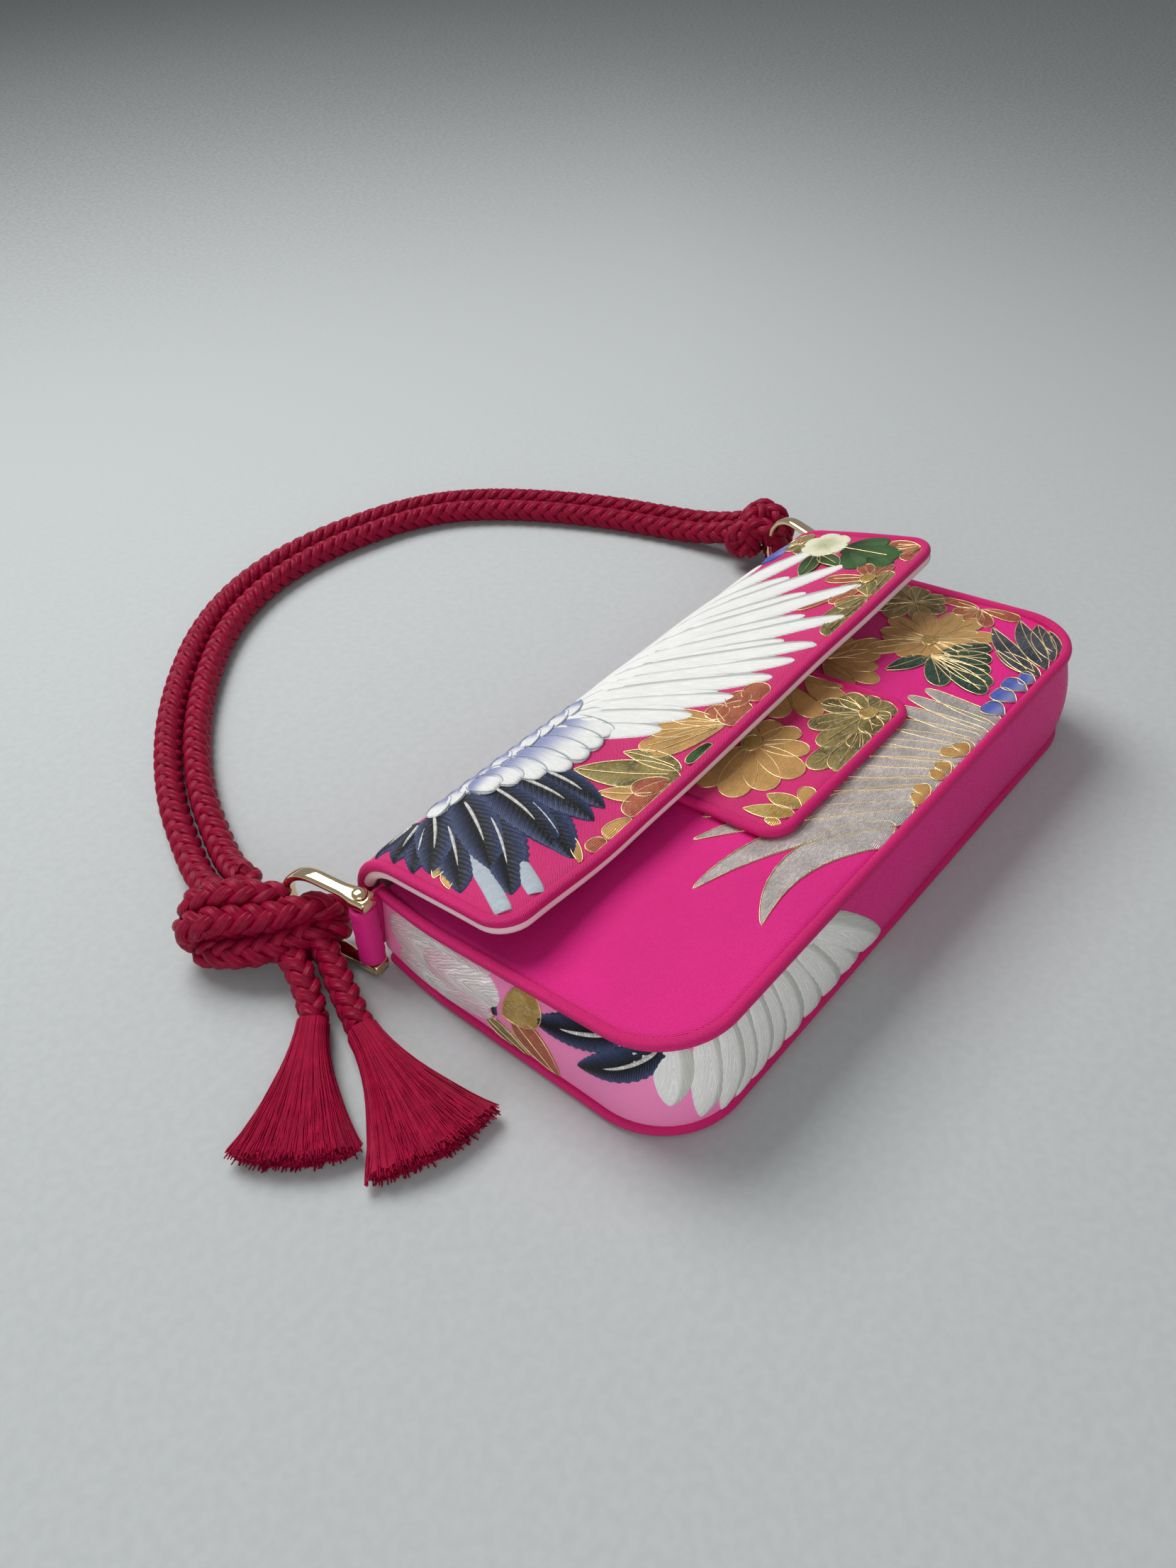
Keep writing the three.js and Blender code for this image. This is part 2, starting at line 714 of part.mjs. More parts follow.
function loopTab(side) {
  const outer = pinX - loopRadius - plyGap;
  const inner = turnHalf + 2 * plyGap;
  const tab = new THREE.BoxGeometry(outer - inner, loopTabThickness, loopHeight);
  const y = halfHeight + plyGap + loopTabThickness / 2;
  return tab.translate((side * (outer + inner)) / 2, y, ringMiddle);
}

for (const side of [-1, 1]) {
  addPiece(`${ringNames[side]}_pin_loop`, pinLoop(side), satin);
  addPiece(`${ringNames[side]}_loop_tab`, loopTab(side), satin);
}

// Ropes

function ropeLine(side) {
  const stretch = pinX / strapRouteHalf;
  const middle = strapRoute.map(([x, y, z]) => new THREE.Vector3(x * stretch, halfHeight + y, z));
  const last = middle.length - 1;
  const points = middle.map((p, i) => {
    const ahead = middle[Math.min(i + 1, last)];
    const behind = middle[Math.max(i - 1, 0)];
    const heading = new THREE.Vector2(ahead.x - behind.x, ahead.y - behind.y).normalize();
    const shift = (side * ropeSpacing) / 2;
    return new THREE.Vector3(p.x - heading.y * shift, p.y + heading.x * shift, p.z);
  });
  points[0].y = halfHeight + strapAxisPastMouth;
  points[last].y = halfHeight + strapAxisPastMouth;
  return points;
}

function smoothLine(points, steps) {
  return new THREE.CatmullRomCurve3(points, false, "centripetal").getSpacedPoints(steps);
}

// A length of rope with rounded ends, so that it can turn where it leaves a knot.
function ropeWithRoundEnds(points, steps) {
  const line = smoothLine(points, steps);
  let shape = solid(tube(line, ropeDiameter / 2, ropeSides));
  for (const end of [line[0], line[line.length - 1]]) {
    const ball = new THREE.SphereGeometry(ropeDiameter / 2, 10, 8).translate(end.x, end.y, end.z);
    shape = shape.add(solid(ball));
  }
  return fromSolid(shape);
}

const ropeSteps = 36;
addPiece("strap_rope_outer", ropeWithRoundEnds(ropeLine(1), ropeSteps), rope);
addPiece("strap_rope_inner", ropeWithRoundEnds(ropeLine(-1), ropeSteps), rope);

// Knots, each cut clear of its ring and of the ropes that leave it

function ropeEndCutters(end) {
  return [1, -1].map((side) => {
    const line = ropeLine(side);
    const p = end < 0 ? line[0] : line[line.length - 1];
    const ball = new THREE.SphereGeometry(ropeDiameter / 2 + runningGap, 16, 12);
    return solid(ball.translate(p.x, p.y, p.z));
  });
}

function knotBody({ centre, half, heading }, side) {
  const body = new THREE.SphereGeometry(1, 16, 12).scale(...half).rotateZ(heading * degree);
  return solid(body.translate(...besidePin(side, centre)));
}

function cutClear(knot, side) {
  let shape = knot;
  for (const cutter of [solid(placeAtRing(ringBand(runningGap), side)), ...ropeEndCutters(side)]) {
    shape = shape.subtract(cutter);
  }
  return fromSolid(shape);
}

const tailRadius = tailDiameter / 2;
const knotMouthY = halfHeight + tailAxisPastMouth + tailRadius + plyGap;

function leftKnotBody() {
  let shape = knotBody(leftKnot, -1);
  for (const route of Object.values(stubRoutes)) {
    const stub = tube(route.map((p) => besidePin(-1, p)), tailRadius, ropeSides);
    shape = shape.add(solid(stub));
  }
  const { x, z } = besidePin(-1, leftKnot.centre);
  const reach = 2 * leftKnot.half[0];
  const mouth = new THREE.BoxGeometry(reach, reach, reach).translate(x, knotMouthY - reach / 2, z);
  return shape.subtract(solid(mouth));
}

function tail(route) {
  const tailSteps = 5;
  const line = smoothLine(route.map((p) => besidePin(-1, p)), tailSteps);
  const ball = new THREE.SphereGeometry(tailRadius, 10, 8).translate(...line[0]);
  return fromSolid(solid(tube(line, tailRadius, ropeSides)).add(solid(ball)));
}

addPiece("left_knot", cutClear(leftKnotBody(), -1), rope);
addPiece("right_hitch", cutClear(knotBody(rightHitch, 1), 1), rope);
addPiece("left_tail", tail(tailRoutes.left), rope);
addPiece("right_tail", tail(tailRoutes.right), rope);

// Tassels: a round neck that opens into a flat fan

function tassel({ neck, length, heading, spread }) {
  const fanColumns = 6;
  const rows = 5;
  const neckHalf = tasselNeckHeight / 2;
  const start = besidePin(-1, neck);
  const blank = new THREE.BoxGeometry(2, rows, 2, fanColumns, rows, 2);
  return bend(blank, (p) => {
    const share = (p.y + rows / 2) / rows;
    const round = p.x || p.z ? roundedSquare(p.x, p.z) : 1;
    const open = THREE.MathUtils.smoothstep(share, 0, 1);
    const height = THREE.MathUtils.lerp(tasselNeckHeight, tasselEndHeight, open);
    const angle = (heading - (p.x * round * spread * Math.sqrt(share)) / 2) * degree;
    const across = p.x * round * neckHalf * (1 - share / 2);
    const square = (heading - 90) * degree;
    const reach = share * length;
    const x = start.x + reach * Math.cos(angle) + across * Math.cos(square);
    const y = start.y + reach * Math.sin(angle) + across * Math.sin(square);
    return p.set(x, y, (height / 2) * (1 + p.z * round));
  });
}

addPiece("left_tassel", tassel(tassels.left), rope);
addPiece("right_tassel", tassel(tassels.right), rope);

export default bag;
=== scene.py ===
"""Baguette bag of embroidered satin with a knotted rope strap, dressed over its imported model.

Lengths are millimetres in this file and become metres when a mesh is made. X runs along the
bag, +Y from its bottom to its mouth and +Z out of its front, as in the model.
"""

import math

import bmesh
import bpy
import numpy as np
from mathutils import Matrix, Vector


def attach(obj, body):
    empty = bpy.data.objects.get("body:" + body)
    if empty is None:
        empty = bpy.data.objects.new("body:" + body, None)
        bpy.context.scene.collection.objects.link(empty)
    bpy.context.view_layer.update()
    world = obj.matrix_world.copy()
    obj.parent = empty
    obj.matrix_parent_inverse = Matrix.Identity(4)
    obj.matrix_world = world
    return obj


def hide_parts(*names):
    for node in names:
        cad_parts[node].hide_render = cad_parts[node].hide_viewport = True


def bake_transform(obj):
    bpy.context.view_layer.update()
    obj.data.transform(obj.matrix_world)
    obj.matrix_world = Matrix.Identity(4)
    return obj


bl_info = {
    "name": "Embroidered baguette bag",
    "version": (1, 0, 0),
    "blender": (4, 5, 0),
    "location": "View3D > Sidebar > Bag",
    "description": "Satin, embroidery, braided rope, rings and tassels of a small evening bag",
    "category": "Object",
}

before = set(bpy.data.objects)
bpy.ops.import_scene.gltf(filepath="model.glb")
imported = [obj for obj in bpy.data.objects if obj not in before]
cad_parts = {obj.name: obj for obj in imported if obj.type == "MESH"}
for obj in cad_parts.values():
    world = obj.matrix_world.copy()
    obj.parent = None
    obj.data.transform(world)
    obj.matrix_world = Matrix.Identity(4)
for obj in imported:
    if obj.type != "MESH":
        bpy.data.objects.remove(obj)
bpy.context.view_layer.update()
MM = 0.001

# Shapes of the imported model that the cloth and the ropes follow.
HALF_LENGTH, HALF_HEIGHT = 129.0, 61.0
BOTTOM_DEPTH, MOUTH_DEPTH = 41.0, 28.0
CORNER_RADIUS, BACK_FLARE, SWELL = 25.0, 2.0, 2.4
SIDE_RUN = 97.0
CORNER_RUN = CORNER_RADIUS * math.pi / 2
SEAM_RUN = 2 * (SIDE_RUN + CORNER_RUN + HALF_LENGTH - CORNER_RADIUS)
MOUTH_TUCK, TUCK_Y = 3.0, 30.0
FOLD_RADIUS, FOLD_Y = 22.6, 50.5
FLAP_HALF, FLAP_EDGE_Y, FLAP_CORNER = 125.5, 5.4, 10.0
LEFT_TILT, RIGHT_TILT = -1.9, 16.0
CORNER_SPRING, CORNER_REACH = 8.0, 55.0
TAB_X, TAB_HALF, TAB_FRONT_Y, TAB_SEAM_Y, TAB_LANDING_Y, TAB_CORNER = 4.5, 42.0, -31.0, 28.0, 3.0, 8.0
PANEL_PROUD, GAP = 0.8, 0.3
CLOTH, LINING_TOP, STACK = 1.2, 3.0, 3.6
PIN_X, PIN_Y, RING_MIDDLE = 135.0, 60.5, 17.5
RING_TURNS = {-1: -8.5, 1: 17.0}
SIDES = {-1: "left", 1: "right"}

# Bends of the cloth: the two bodies, and where the bend starts and ends in metres.
TURN_BEND = ("bag", "flap_turn", (0, 0.066, 0.005), (0, 0.073, 0.018))
CREASE_BEND = ("flap_turn", "flap", (0, 0.064, 0.0407), (0, 0.050, 0.0455))
TAB_BEND = ("flap", "tab", (0.0045, 0.030, 0.042), (0.0045, 0.022, 0.041))


# Property groups

def length(name, description, default):
    return bpy.props.FloatProperty(
        name=name, description=description, default=default, min=0.0, unit="LENGTH", precision=5
    )


def colour(name, description, default):
    return bpy.props.FloatVectorProperty(
        name=name, description=description, default=default, size=3, min=0.0, max=1.0, subtype="COLOR"
    )


class BagColours(bpy.types.PropertyGroup):
    satin: colour("Satin", "Front, gusset and back", (0.78, 0.01, 0.235))
    flap_satin: colour("Flap satin", "Flap and tab", (0.66, 0.018, 0.165))
    pale_satin: colour("Pale satin", "Left end of the gusset", (1.0, 0.27, 0.56))
    piping: colour("Piping", "Piping along the seams", (0.64, 0.004, 0.15))
    lining: colour("Lining", "Lining cloth", (0.84, 0.6, 0.64))
    white_silk: colour("White silk", "Long wing feathers", (0.97, 0.97, 0.93))
    grey_silk: colour("Grey silk", "Shaded side of each white feather", (0.55, 0.56, 0.53))
    navy_silk: colour("Navy silk", "Dark feathers", (0.024, 0.038, 0.1))
    green_silk: colour("Green silk", "Leaves", (0.045, 0.12, 0.03))
    blue_silk: colour("Blue silk", "Small petals", (0.07, 0.11, 0.46))
    pink_silk: colour("Pink silk", "Shaded feathers of the end panel", (0.92, 0.66, 0.72))
    gold_foil: colour("Gold foil", "Woven gold petals", (0.66, 0.36, 0.11))
    olive_foil: colour("Olive foil", "Woven olive gold petals", (0.4, 0.31, 0.1))
    silver_foil: colour("Silver foil", "Woven silver wing", (0.7, 0.64, 0.6))
    gold_thread: colour("Gold thread", "Couched outlines", (0.8, 0.62, 0.34))
    ring_gold: colour("Ring gold", "Rings and pins", (0.85, 0.66, 0.4))
    rope: colour("Rope", "Braided silk ropes", (0.25, 0.001, 0.026))
    tassel: colour("Tassel", "Tassel silk", (0.32, 0.0015, 0.035))
    floor: colour("Floor", "Floor under the bag", (0.47, 0.49, 0.49))


class ClothSizes(bpy.types.PropertyGroup):
    twill_pitch: length("Twill pitch", "Distance between the ribs of the satin", 0.0006)
    twill_depth: length("Twill depth", "Depth of the ribs of the satin", 0.00006)
    stitch_pitch: length("Stitch pitch", "Distance between the stitches of the embroidery", 0.00042)
    outline_radius: length("Outline radius", "Radius of the couched outline thread", 0.00022)
    piping_radius: length("Piping radius", "Radius of the piping", 0.002)


class RopeSizes(bpy.types.PropertyGroup):
    diameter: length("Rope diameter", "Diameter of each strap rope", 0.0108)
    tail_diameter: length("Tail diameter", "Diameter of the two loose ends", 0.0096)
    pitch: length("Braid pitch", "Length of one turn of a strand", 0.027)
    thread_radius: length("Tassel thread", "Radius of one thread of a tassel", 0.00024)
    threads: bpy.props.IntProperty(
        name="Tassel threads", description="Number of threads on each tassel", default=620, min=50
    )


# Meshes


def link(name, mesh, material=None):
    piece = bpy.data.objects.new(name, mesh)
    bpy.context.scene.collection.objects.link(piece)
    if material:
        mesh.materials.clear()
        mesh.materials.append(finishes()[material])
    return piece


def sew(piece, motion, *nodes):
    """Puts a piece in the place of its solids. Motion is one body, whose empty the piece is parented to; a
    bend between two bodies is not used, and the piece only has its transform baked.
    """
    if nodes:
        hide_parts(*nodes)
    if isinstance(motion, str):
        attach(piece, motion)
    else:
        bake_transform(piece)


def mesh_piece(name, points, faces, material, maps=None, smooth_angle=40.0):
    """A closed mesh from points in millimetres; maps gives a UV pair for each point."""
    mesh = bpy.data.meshes.new(name)
    mesh.from_pydata((np.asarray(points, float) * MM).tolist(), [], faces)
    corners = np.zeros(len(mesh.loops), np.int32)
    mesh.loops.foreach_get("vertex_index", corners)
    for key, values in (maps or {}).items():
        layer = mesh.uv_layers.new(name=key)
        layer.data.foreach_set("uv", np.asarray(values, np.float32)[corners].ravel())
    work = bmesh.new()
    work.from_mesh(mesh)
    bmesh.ops.recalc_face_normals(work, faces=work.faces)
    work.to_mesh(mesh)
    work.free()
    mesh.polygons.foreach_set("use_smooth", [True] * len(mesh.polygons))
    mesh.set_sharp_from_angle(angle=math.radians(smooth_angle))
    return link(name, mesh, material)


def grid_faces(rows, columns, offset=0, closed=False):
    wide = columns if closed else columns - 1
    faces = []
    for r in range(rows - 1):
        for c in range(wide):
            a, b = offset + r * columns + c, offset + r * columns + (c + 1) % columns
            faces.append((a, b, b + columns, a + columns))
    return faces


def shell(name, outer, inner, cloth, material):
    """A sheet with a thickness: two grids of points joined along their four edges."""
    rows, columns = outer.shape[:2]
    count = rows * columns
    points = np.concatenate([outer.reshape(-1, 3), inner.reshape(-1, 3)])
    faces = grid_faces(rows, columns) + [tuple(reversed(f)) for f in grid_faces(rows, columns, count)]
    edge = [(0, c) for c in range(columns)] + [(r, columns - 1) for r in range(1, rows)]
    edge += [(rows - 1, c) for c in range(columns - 2, -1, -1)] + [(r, 0) for r in range(rows - 2, 0, -1)]
    loop = [r * columns + c for r, c in edge]
    for a, b in zip(loop, loop[1:] + loop[:1]):
        faces.append((b, a, a + count, b + count))
    uv = np.tile(cloth.reshape(-1, 2) * MM, (2, 1))
    return mesh_piece(name, points, faces, material, {"Cloth": uv})


def full_turn(count):
    """Angles that go evenly round a circle."""
    return np.linspace(0, 2 * math.pi, count, endpoint=False)


def blunt(wave, power):
    """A wave with squarer or sharper tops; a circle of such waves is a rounded oblong."""
    return np.sign(wave) * np.abs(wave) ** power


def tube(name, rings, material, cloth=None, smooth_angle=60.0, joined=False):
    """A skin over rings of points, with its two ends capped, or joined to each other."""
    rows, around = len(rings), len(rings[0])
    last = (rows - 1) * around
    faces = grid_faces(rows, around, closed=True)
    if joined:
        faces += [(last + i, last + (i + 1) % around, (i + 1) % around, i) for i in range(around)]
    else:
        faces += [tuple(range(around)), tuple(range(last, last + around))]
    maps = {"Cloth": np.concatenate(cloth) * MM} if cloth else None
    return mesh_piece(name, np.concatenate(rings), faces, material, maps, smooth_angle)


def frames_along(points):
    """Unit heading and two unit sides at each point of a path, with the least twist."""
    heading = np.gradient(points, axis=0)
    heading /= np.linalg.norm(heading, axis=1)[:, None]
    side = np.cross(heading[0], (0.0, 0.0, 1.0) if abs(heading[0][2]) < 0.9 else (1.0, 0.0, 0.0))
    sides = []
    for h in heading:
        side = side - h * side.dot(h)
        side = side / np.linalg.norm(side)
        sides.append(side)
    sides = np.array(sides)
    return heading, sides, np.cross(heading, sides)


def run_lengths(points):
    steps = np.linalg.norm(np.diff(np.asarray(points, float), axis=0), axis=1)
    return np.concatenate([[0.0], np.cumsum(steps)])


def cord_of_cloth(name, points, radius, material, around=16):
    """Piping: a round cord of cloth with domed ends."""
    heading, side, up = frames_along(points)
    run = run_lengths(points)
    path = [points[0] - heading[0] * radius * d for d in (0.97, 0.7, 0.35)] + list(points)
    path += [points[-1] + heading[-1] * radius * d for d in (0.35, 0.7, 0.97)]
    radii = [0.25, 0.7, 0.93] + [1.0] * len(points) + [0.93, 0.7, 0.25]
    spans = np.concatenate([[-2.0, -1.4, -0.7], run, run[-1] + np.array([0.7, 1.4, 2.0])])
    pick = [0] * 3 + list(range(len(points))) + [-1] * 3
    angle = full_turn(around)
    rings, cloth = [], []
    for p, share, k, s in zip(path, radii, pick, spans):
        reach = radius * share
        rings.append(p + reach * (np.cos(angle)[:, None] * side[k] + np.sin(angle)[:, None] * up[k]))
        cloth.append(np.stack([np.full(around, s), np.minimum(angle, 2 * math.pi - angle) * radius], 1))
    return tube(name, rings, material, cloth, 80.0)


def spaced(start, end, pitch, fine=(0.0, 0.5, 1.1, 1.9, 3.0, 4.6)):
    """Positions from start to end, close together near both ends."""
    span = end - start
    fine = np.array([f for f in fine if f < span / 2])
    count = max(2, int(round((span - 2 * fine[-1]) / pitch)) + 1)
    middle = np.linspace(start + fine[-1], end - fine[-1], count)[1:-1]
    return np.concatenate([start + fine, middle, (end - fine)[::-1]])


def dip(distance, depth=0.8, reach=1.3):
    """How far cloth sinks beside a seam."""
    return depth * np.exp(-((np.maximum(distance, 0) / reach) ** 2))


# Surfaces of the cloth. Each gives points in millimetres from two pattern coordinates.

def smoothstep(value, low, high):
    t = np.clip((value - low) / (high - low), 0, 1)
    return t * t * (3 - 2 * t)


def matched(a, b):
    return np.broadcast_arrays(np.asarray(a, float), np.asarray(b, float))


def softness(x, y, size=0.22):
    """Gentle unevenness of cloth over board."""
    wave = np.sin(x / 17.0 + 0.7 * np.sin(y / 21.0)) + 0.6 * np.sin(y / 9.5 + x / 31.0 + 1.0)
    return size * (wave + 0.5 * np.sin(x / 8.3 - y / 12.0))


def front_height(y):
    fall = (np.asarray(y, float) + HALF_HEIGHT) / (2 * HALF_HEIGHT)
    return BOTTOM_DEPTH - (BOTTOM_DEPTH - MOUTH_DEPTH) * fall


def mouth_tuck(y):
    return MOUTH_TUCK * np.maximum(0, (y - TUCK_Y) / (HALF_HEIGHT - TUCK_Y)) ** 1.5


def front_face(x, y, depth=0.0):
    x, y = matched(x, y)
    right = smoothstep(x, 70, 128) * np.sin(y / 6.5 + x / 11.0) * 0.45
    return np.stack([x, y, front_height(y) + PANEL_PROUD - depth + softness(x, y) + right], -1)


def seam(u, level, outward=0.0):
    """A point of the gusset's run, from the mouth at the left end round to the right one."""
    u = np.asarray(u, float)
    far = u > SEAM_RUN / 2
    run = np.where(far, SEAM_RUN - u, u)
    reach = CORNER_RADIUS + BACK_FLARE * (1 - level) + outward
    angle = np.clip((run - SIDE_RUN) / CORNER_RUN, 0, 1) * math.pi / 2
    straight = np.maximum(run - SIDE_RUN - CORNER_RUN, 0)
    y = HALF_HEIGHT - np.minimum(run, SIDE_RUN) - reach * np.sin(angle)
    x = -(HALF_LENGTH - CORNER_RADIUS) - reach * np.cos(angle) + straight + mouth_tuck(y)
    return np.where(far, -x, x), y


def gusset_face(u, z, depth=0.0):
    u, z = matched(u, z)
    _, y = seam(u, 0.5)
    level = (z - 4.3) / (front_height(y) - 6.6)
    bulge = SWELL * np.sin(math.pi * np.clip(level, 0, 1)) * (1 - smoothstep(y, 20, 44))
    x, y = seam(u, level, 0.6 - depth + bulge + softness(u, z * 1.5, 0.16))
    return np.stack([x, y, z], -1)


def flap_tilt(x):
    from_left = np.asarray(x, float) + FLAP_HALF
    curl = CORNER_SPRING * (1 - smoothstep(from_left, 0, CORNER_REACH))
    return np.radians(LEFT_TILT + (RIGHT_TILT - LEFT_TILT) * from_left / (2 * FLAP_HALF) + curl)


def fold_face(x, s, depth=0.0):
    """Back panel, turn and flap as one sheet; s is the distance up from where the turn starts."""
    x, s = matched(x, s)
    end = math.pi / 2 - flap_tilt(x)
    turn = FOLD_RADIUS * (end + math.pi / 2)
    angle = -math.pi / 2 + np.clip(s, 0, turn) / FOLD_RADIUS
    fall = np.maximum(s - turn, 0)
    radius = FOLD_RADIUS - depth + softness(x, s) * smoothstep(s, 20, 60)
    y = FOLD_Y + radius * np.cos(angle) - fall * np.sin(end) + np.minimum(s, 0)
    z = FOLD_RADIUS + radius * np.sin(angle) + fall * np.cos(end)
    return np.stack([x, y, z], -1)


def flap_run(x, y):
    """Distance along the fold for a place on the flap; past its crest y goes on round the turn."""
    end = math.pi / 2 - flap_tilt(x)
    turn = FOLD_RADIUS * (end + math.pi / 2)
    crest = FOLD_Y + FOLD_RADIUS * np.cos(end)
    return np.where(y <= crest, turn + (crest - y) / np.sin(end), turn - (y - crest))


def flap_face(x, y, depth=0.0):
    return fold_face(x, flap_run(np.asarray(x, float), np.asarray(y, float)), depth)


def tab_face(x, y, depth=0.0):
    """The tab, with x from its own middle."""
    x, y = matched(x, y)
    x = x + TAB_X
    landing = front_height(y) + PANEL_PROUD + GAP + STACK
    under = flap_face(x, np.full_like(x, TAB_SEAM_Y))[..., 2] - STACK / np.cos(flap_tilt(x)) - GAP
    share = np.maximum(0, (y - TAB_LANDING_Y) / (TAB_SEAM_Y - TAB_LANDING_Y)) ** 1.6
    z = landing + (under - landing) * share
    return np.stack([x, y, z - depth + softness(x, y, 0.12)], -1)


def raised(face, a, b, lift):
    """Points at a height above a surface, along its own outward direction."""
    step = 0.2
    along = face(a + step, b) - face(a - step, b)
    across = face(a, b + step) - face(a, b - step)
    out = np.cross(along, across)
    out /= np.linalg.norm(out, axis=-1)[..., None]
    return face(a, b) + out * np.asarray(lift)[..., None]


# Materials

class Flow:
    """The output of a node. A sign between two of them, or one and a number, adds a math node."""

    def __init__(self, wiring, socket):
        self.wiring, self.socket = wiring, socket

    def __add__(self, other):
        return self.wiring.math("ADD", self, other)

    def __radd__(self, other):
        return self.wiring.math("ADD", other, self)

    def __sub__(self, other):
        return self.wiring.math("SUBTRACT", self, other)

    def __rsub__(self, other):
        return self.wiring.math("SUBTRACT", other, self)

    def __mul__(self, other):
        return self.wiring.math("MULTIPLY", self, other)

    def __truediv__(self, other):
        return self.wiring.math("DIVIDE", self, other)

    def __mod__(self, other):
        return self.wiring.math("MODULO", self, other)

    def __pow__(self, other):
        return self.wiring.math("POWER", self, other)

    def __abs__(self):
        return self.wiring.math("ABSOLUTE", self)


class Wiring:
    """Adds nodes to a tree and links them to each other."""

    def __init__(self, tree):
        self.tree = tree

    def node(self, kind, inputs=None, **settings):
        made = self.tree.nodes.new(kind)
        for name, value in settings.items():
            setattr(made, name, value)
        for key, value in (inputs or {}).items():
            self.feed(made.inputs[key], value)
        return made

    def out(self, kind, inputs=None, output=0, **settings):
        """Adds a node and gives one of its outputs."""
        return Flow(self, self.node(kind, inputs, **settings).outputs[output])

    def feed(self, socket, value):
        if isinstance(value, Flow):
            self.tree.links.new(value.socket, socket)
        else:
            socket.default_value = value

    def math(self, operation, *values):
        return self.out("ShaderNodeMath", dict(enumerate(values)), operation=operation)

    def vector(self, operation, *values):
        return self.out("ShaderNodeVectorMath", dict(enumerate(values)), operation=operation)

    def scaled(self, vector, scale):
        return self.out("ShaderNodeVectorMath", {"Vector": vector, "Scale": scale}, operation="SCALE")

    def joined(self, *values):
        return self.out("ShaderNodeCombineXYZ", dict(enumerate(values)))

    def ribs(self, coordinate, pitch):
        return self.math("SINE", coordinate * (2 * math.pi / pitch))

    def ramp(self, value, low, high, start=0.0, end=1.0):
        inputs = {"Value": value, "From Min": low, "From Max": high, "To Min": start, "To Max": end}
        return self.out("ShaderNodeMapRange", inputs, interpolation_type="SMOOTHSTEP")

    def noise(self, vector, scale, detail=3.0):
        inputs = {"Vector": vector, "Scale": scale, "Detail": detail, "Roughness": 0.5}
        return self.out("ShaderNodeTexNoise", inputs, "Fac")

    def mix(self, share, first, second):
        first, second = ((*t, 1.0) if isinstance(t, tuple) else t for t in (first, second))
        return self.out("ShaderNodeMix", {0: share, 6: first, 7: second}, 2, data_type="RGBA")

    def dimmed(self, tone, value):
        tone = (*tone, 1.0) if isinstance(tone, tuple) else tone
        return self.out("ShaderNodeHueSaturation", {"Value": value, "Color": tone}, "Color")

    def parts(self, vector):
        made = self.node("ShaderNodeSeparateXYZ", {"Vector": vector})
        return [Flow(self, output) for output in made.outputs]

    def map(self, name):
        return self.out("ShaderNodeUVMap", None, "UV", uv_map=name)

    def place(self):
        return self.out("ShaderNodeTexCoord", None, "Object")


class Finish(Wiring):
    """A new material and the wiring of its shader."""

    def __init__(self, name, base, roughness, metallic=0.0, specular=0.5):
        material = bpy.data.materials.new(name)
        material.use_nodes = True
        material.diffuse_color = (*base, 1.0)
        super().__init__(material.node_tree)
        self.shader = self.tree.nodes["Principled BSDF"].inputs
        self.shader["Base Color"].default_value = (*base, 1.0)
        self.shader["Roughness"].default_value = roughness
        self.shader["Metallic"].default_value = metallic
        self.shader["Specular IOR Level"].default_value = specular

    def colour(self, share, first, second):
        self.feed(self.shader["Base Color"], self.mix(share, first, second))

    def roughness(self, value, low, high, start, end):
        self.feed(self.shader["Roughness"], self.ramp(value, low, high, start, end))

    def relief(self, height, distance, strength):
        inputs = {"Height": height, "Distance": distance, "Strength": strength}
        self.feed(self.shader["Normal"], self.out("ShaderNodeBump", inputs, "Normal"))


def darker(base, share):
    return tuple(c * share for c in base)


def paler(base, share):
    return tuple(c + (1 - c) * share for c in base)


def satin_cloth(name, base, pale=None, roughness=0.42):
    """Satin with a fine diagonal twill, painted shade in its grooves and broad patches painted darker for its
    uneven sheen; pale fades in towards the left end of the gusset.
    """
    cloth = bpy.context.scene.bag_cloth
    w = Finish(name, base, roughness, specular=0.35)
    uv = w.map("Cloth")
    across, up, _ = w.parts(uv)
    drift = w.noise(uv, 260.0, 2.0) * (cloth.twill_pitch * 0.9)
    twill = w.ribs(across * 0.8 + up + drift, cloth.twill_pitch)
    weft = w.ribs(across - up, cloth.twill_pitch * 0.7)
    slubs = w.noise(w.vector("MULTIPLY", uv, (180.0, 900.0, 1.0)), 1.0, 2.0)
    w.relief(twill + weft * 0.35 + slubs * 1.4, cloth.twill_depth, 0.95)
    broad = w.ramp(w.noise(w.place(), 28.0, 2.0), 0.3, 0.75)
    # shade: painted shade in the twill's grooves, and broad random patches painted darker for the satin's
    # uneven sheen
    shade = broad * 0.3 + w.ramp(twill, -1.0, 0.6, 0.2, 0.0)
    ground, deep = base, darker(base, 0.68)
    if pale:
        ground = w.mix(w.ramp(across, 0.128, 0.168), pale, base)
        deep = w.dimmed(ground, 0.78)
    w.colour(w.math("MINIMUM", shade, 1.0), ground, deep)
    w.roughness(w.noise(uv, 900.0, 2.0), 0.3, 0.7, roughness - 0.06, roughness + 0.08)


def plain_cloth(name, base):
    pitch = 0.0005
    w = Finish(name, base, 0.62, specular=0.3)
    uv = w.map("Cloth")
    across, up, _ = w.parts(uv)
    weave = w.ribs(across, pitch) * w.ribs(up, pitch)
    w.relief(weave + w.noise(uv, 700.0), 0.00004, 0.5)
    w.colour(w.ramp(w.noise(w.place(), 45.0), 0.3, 0.8), base, darker(base, 0.86))


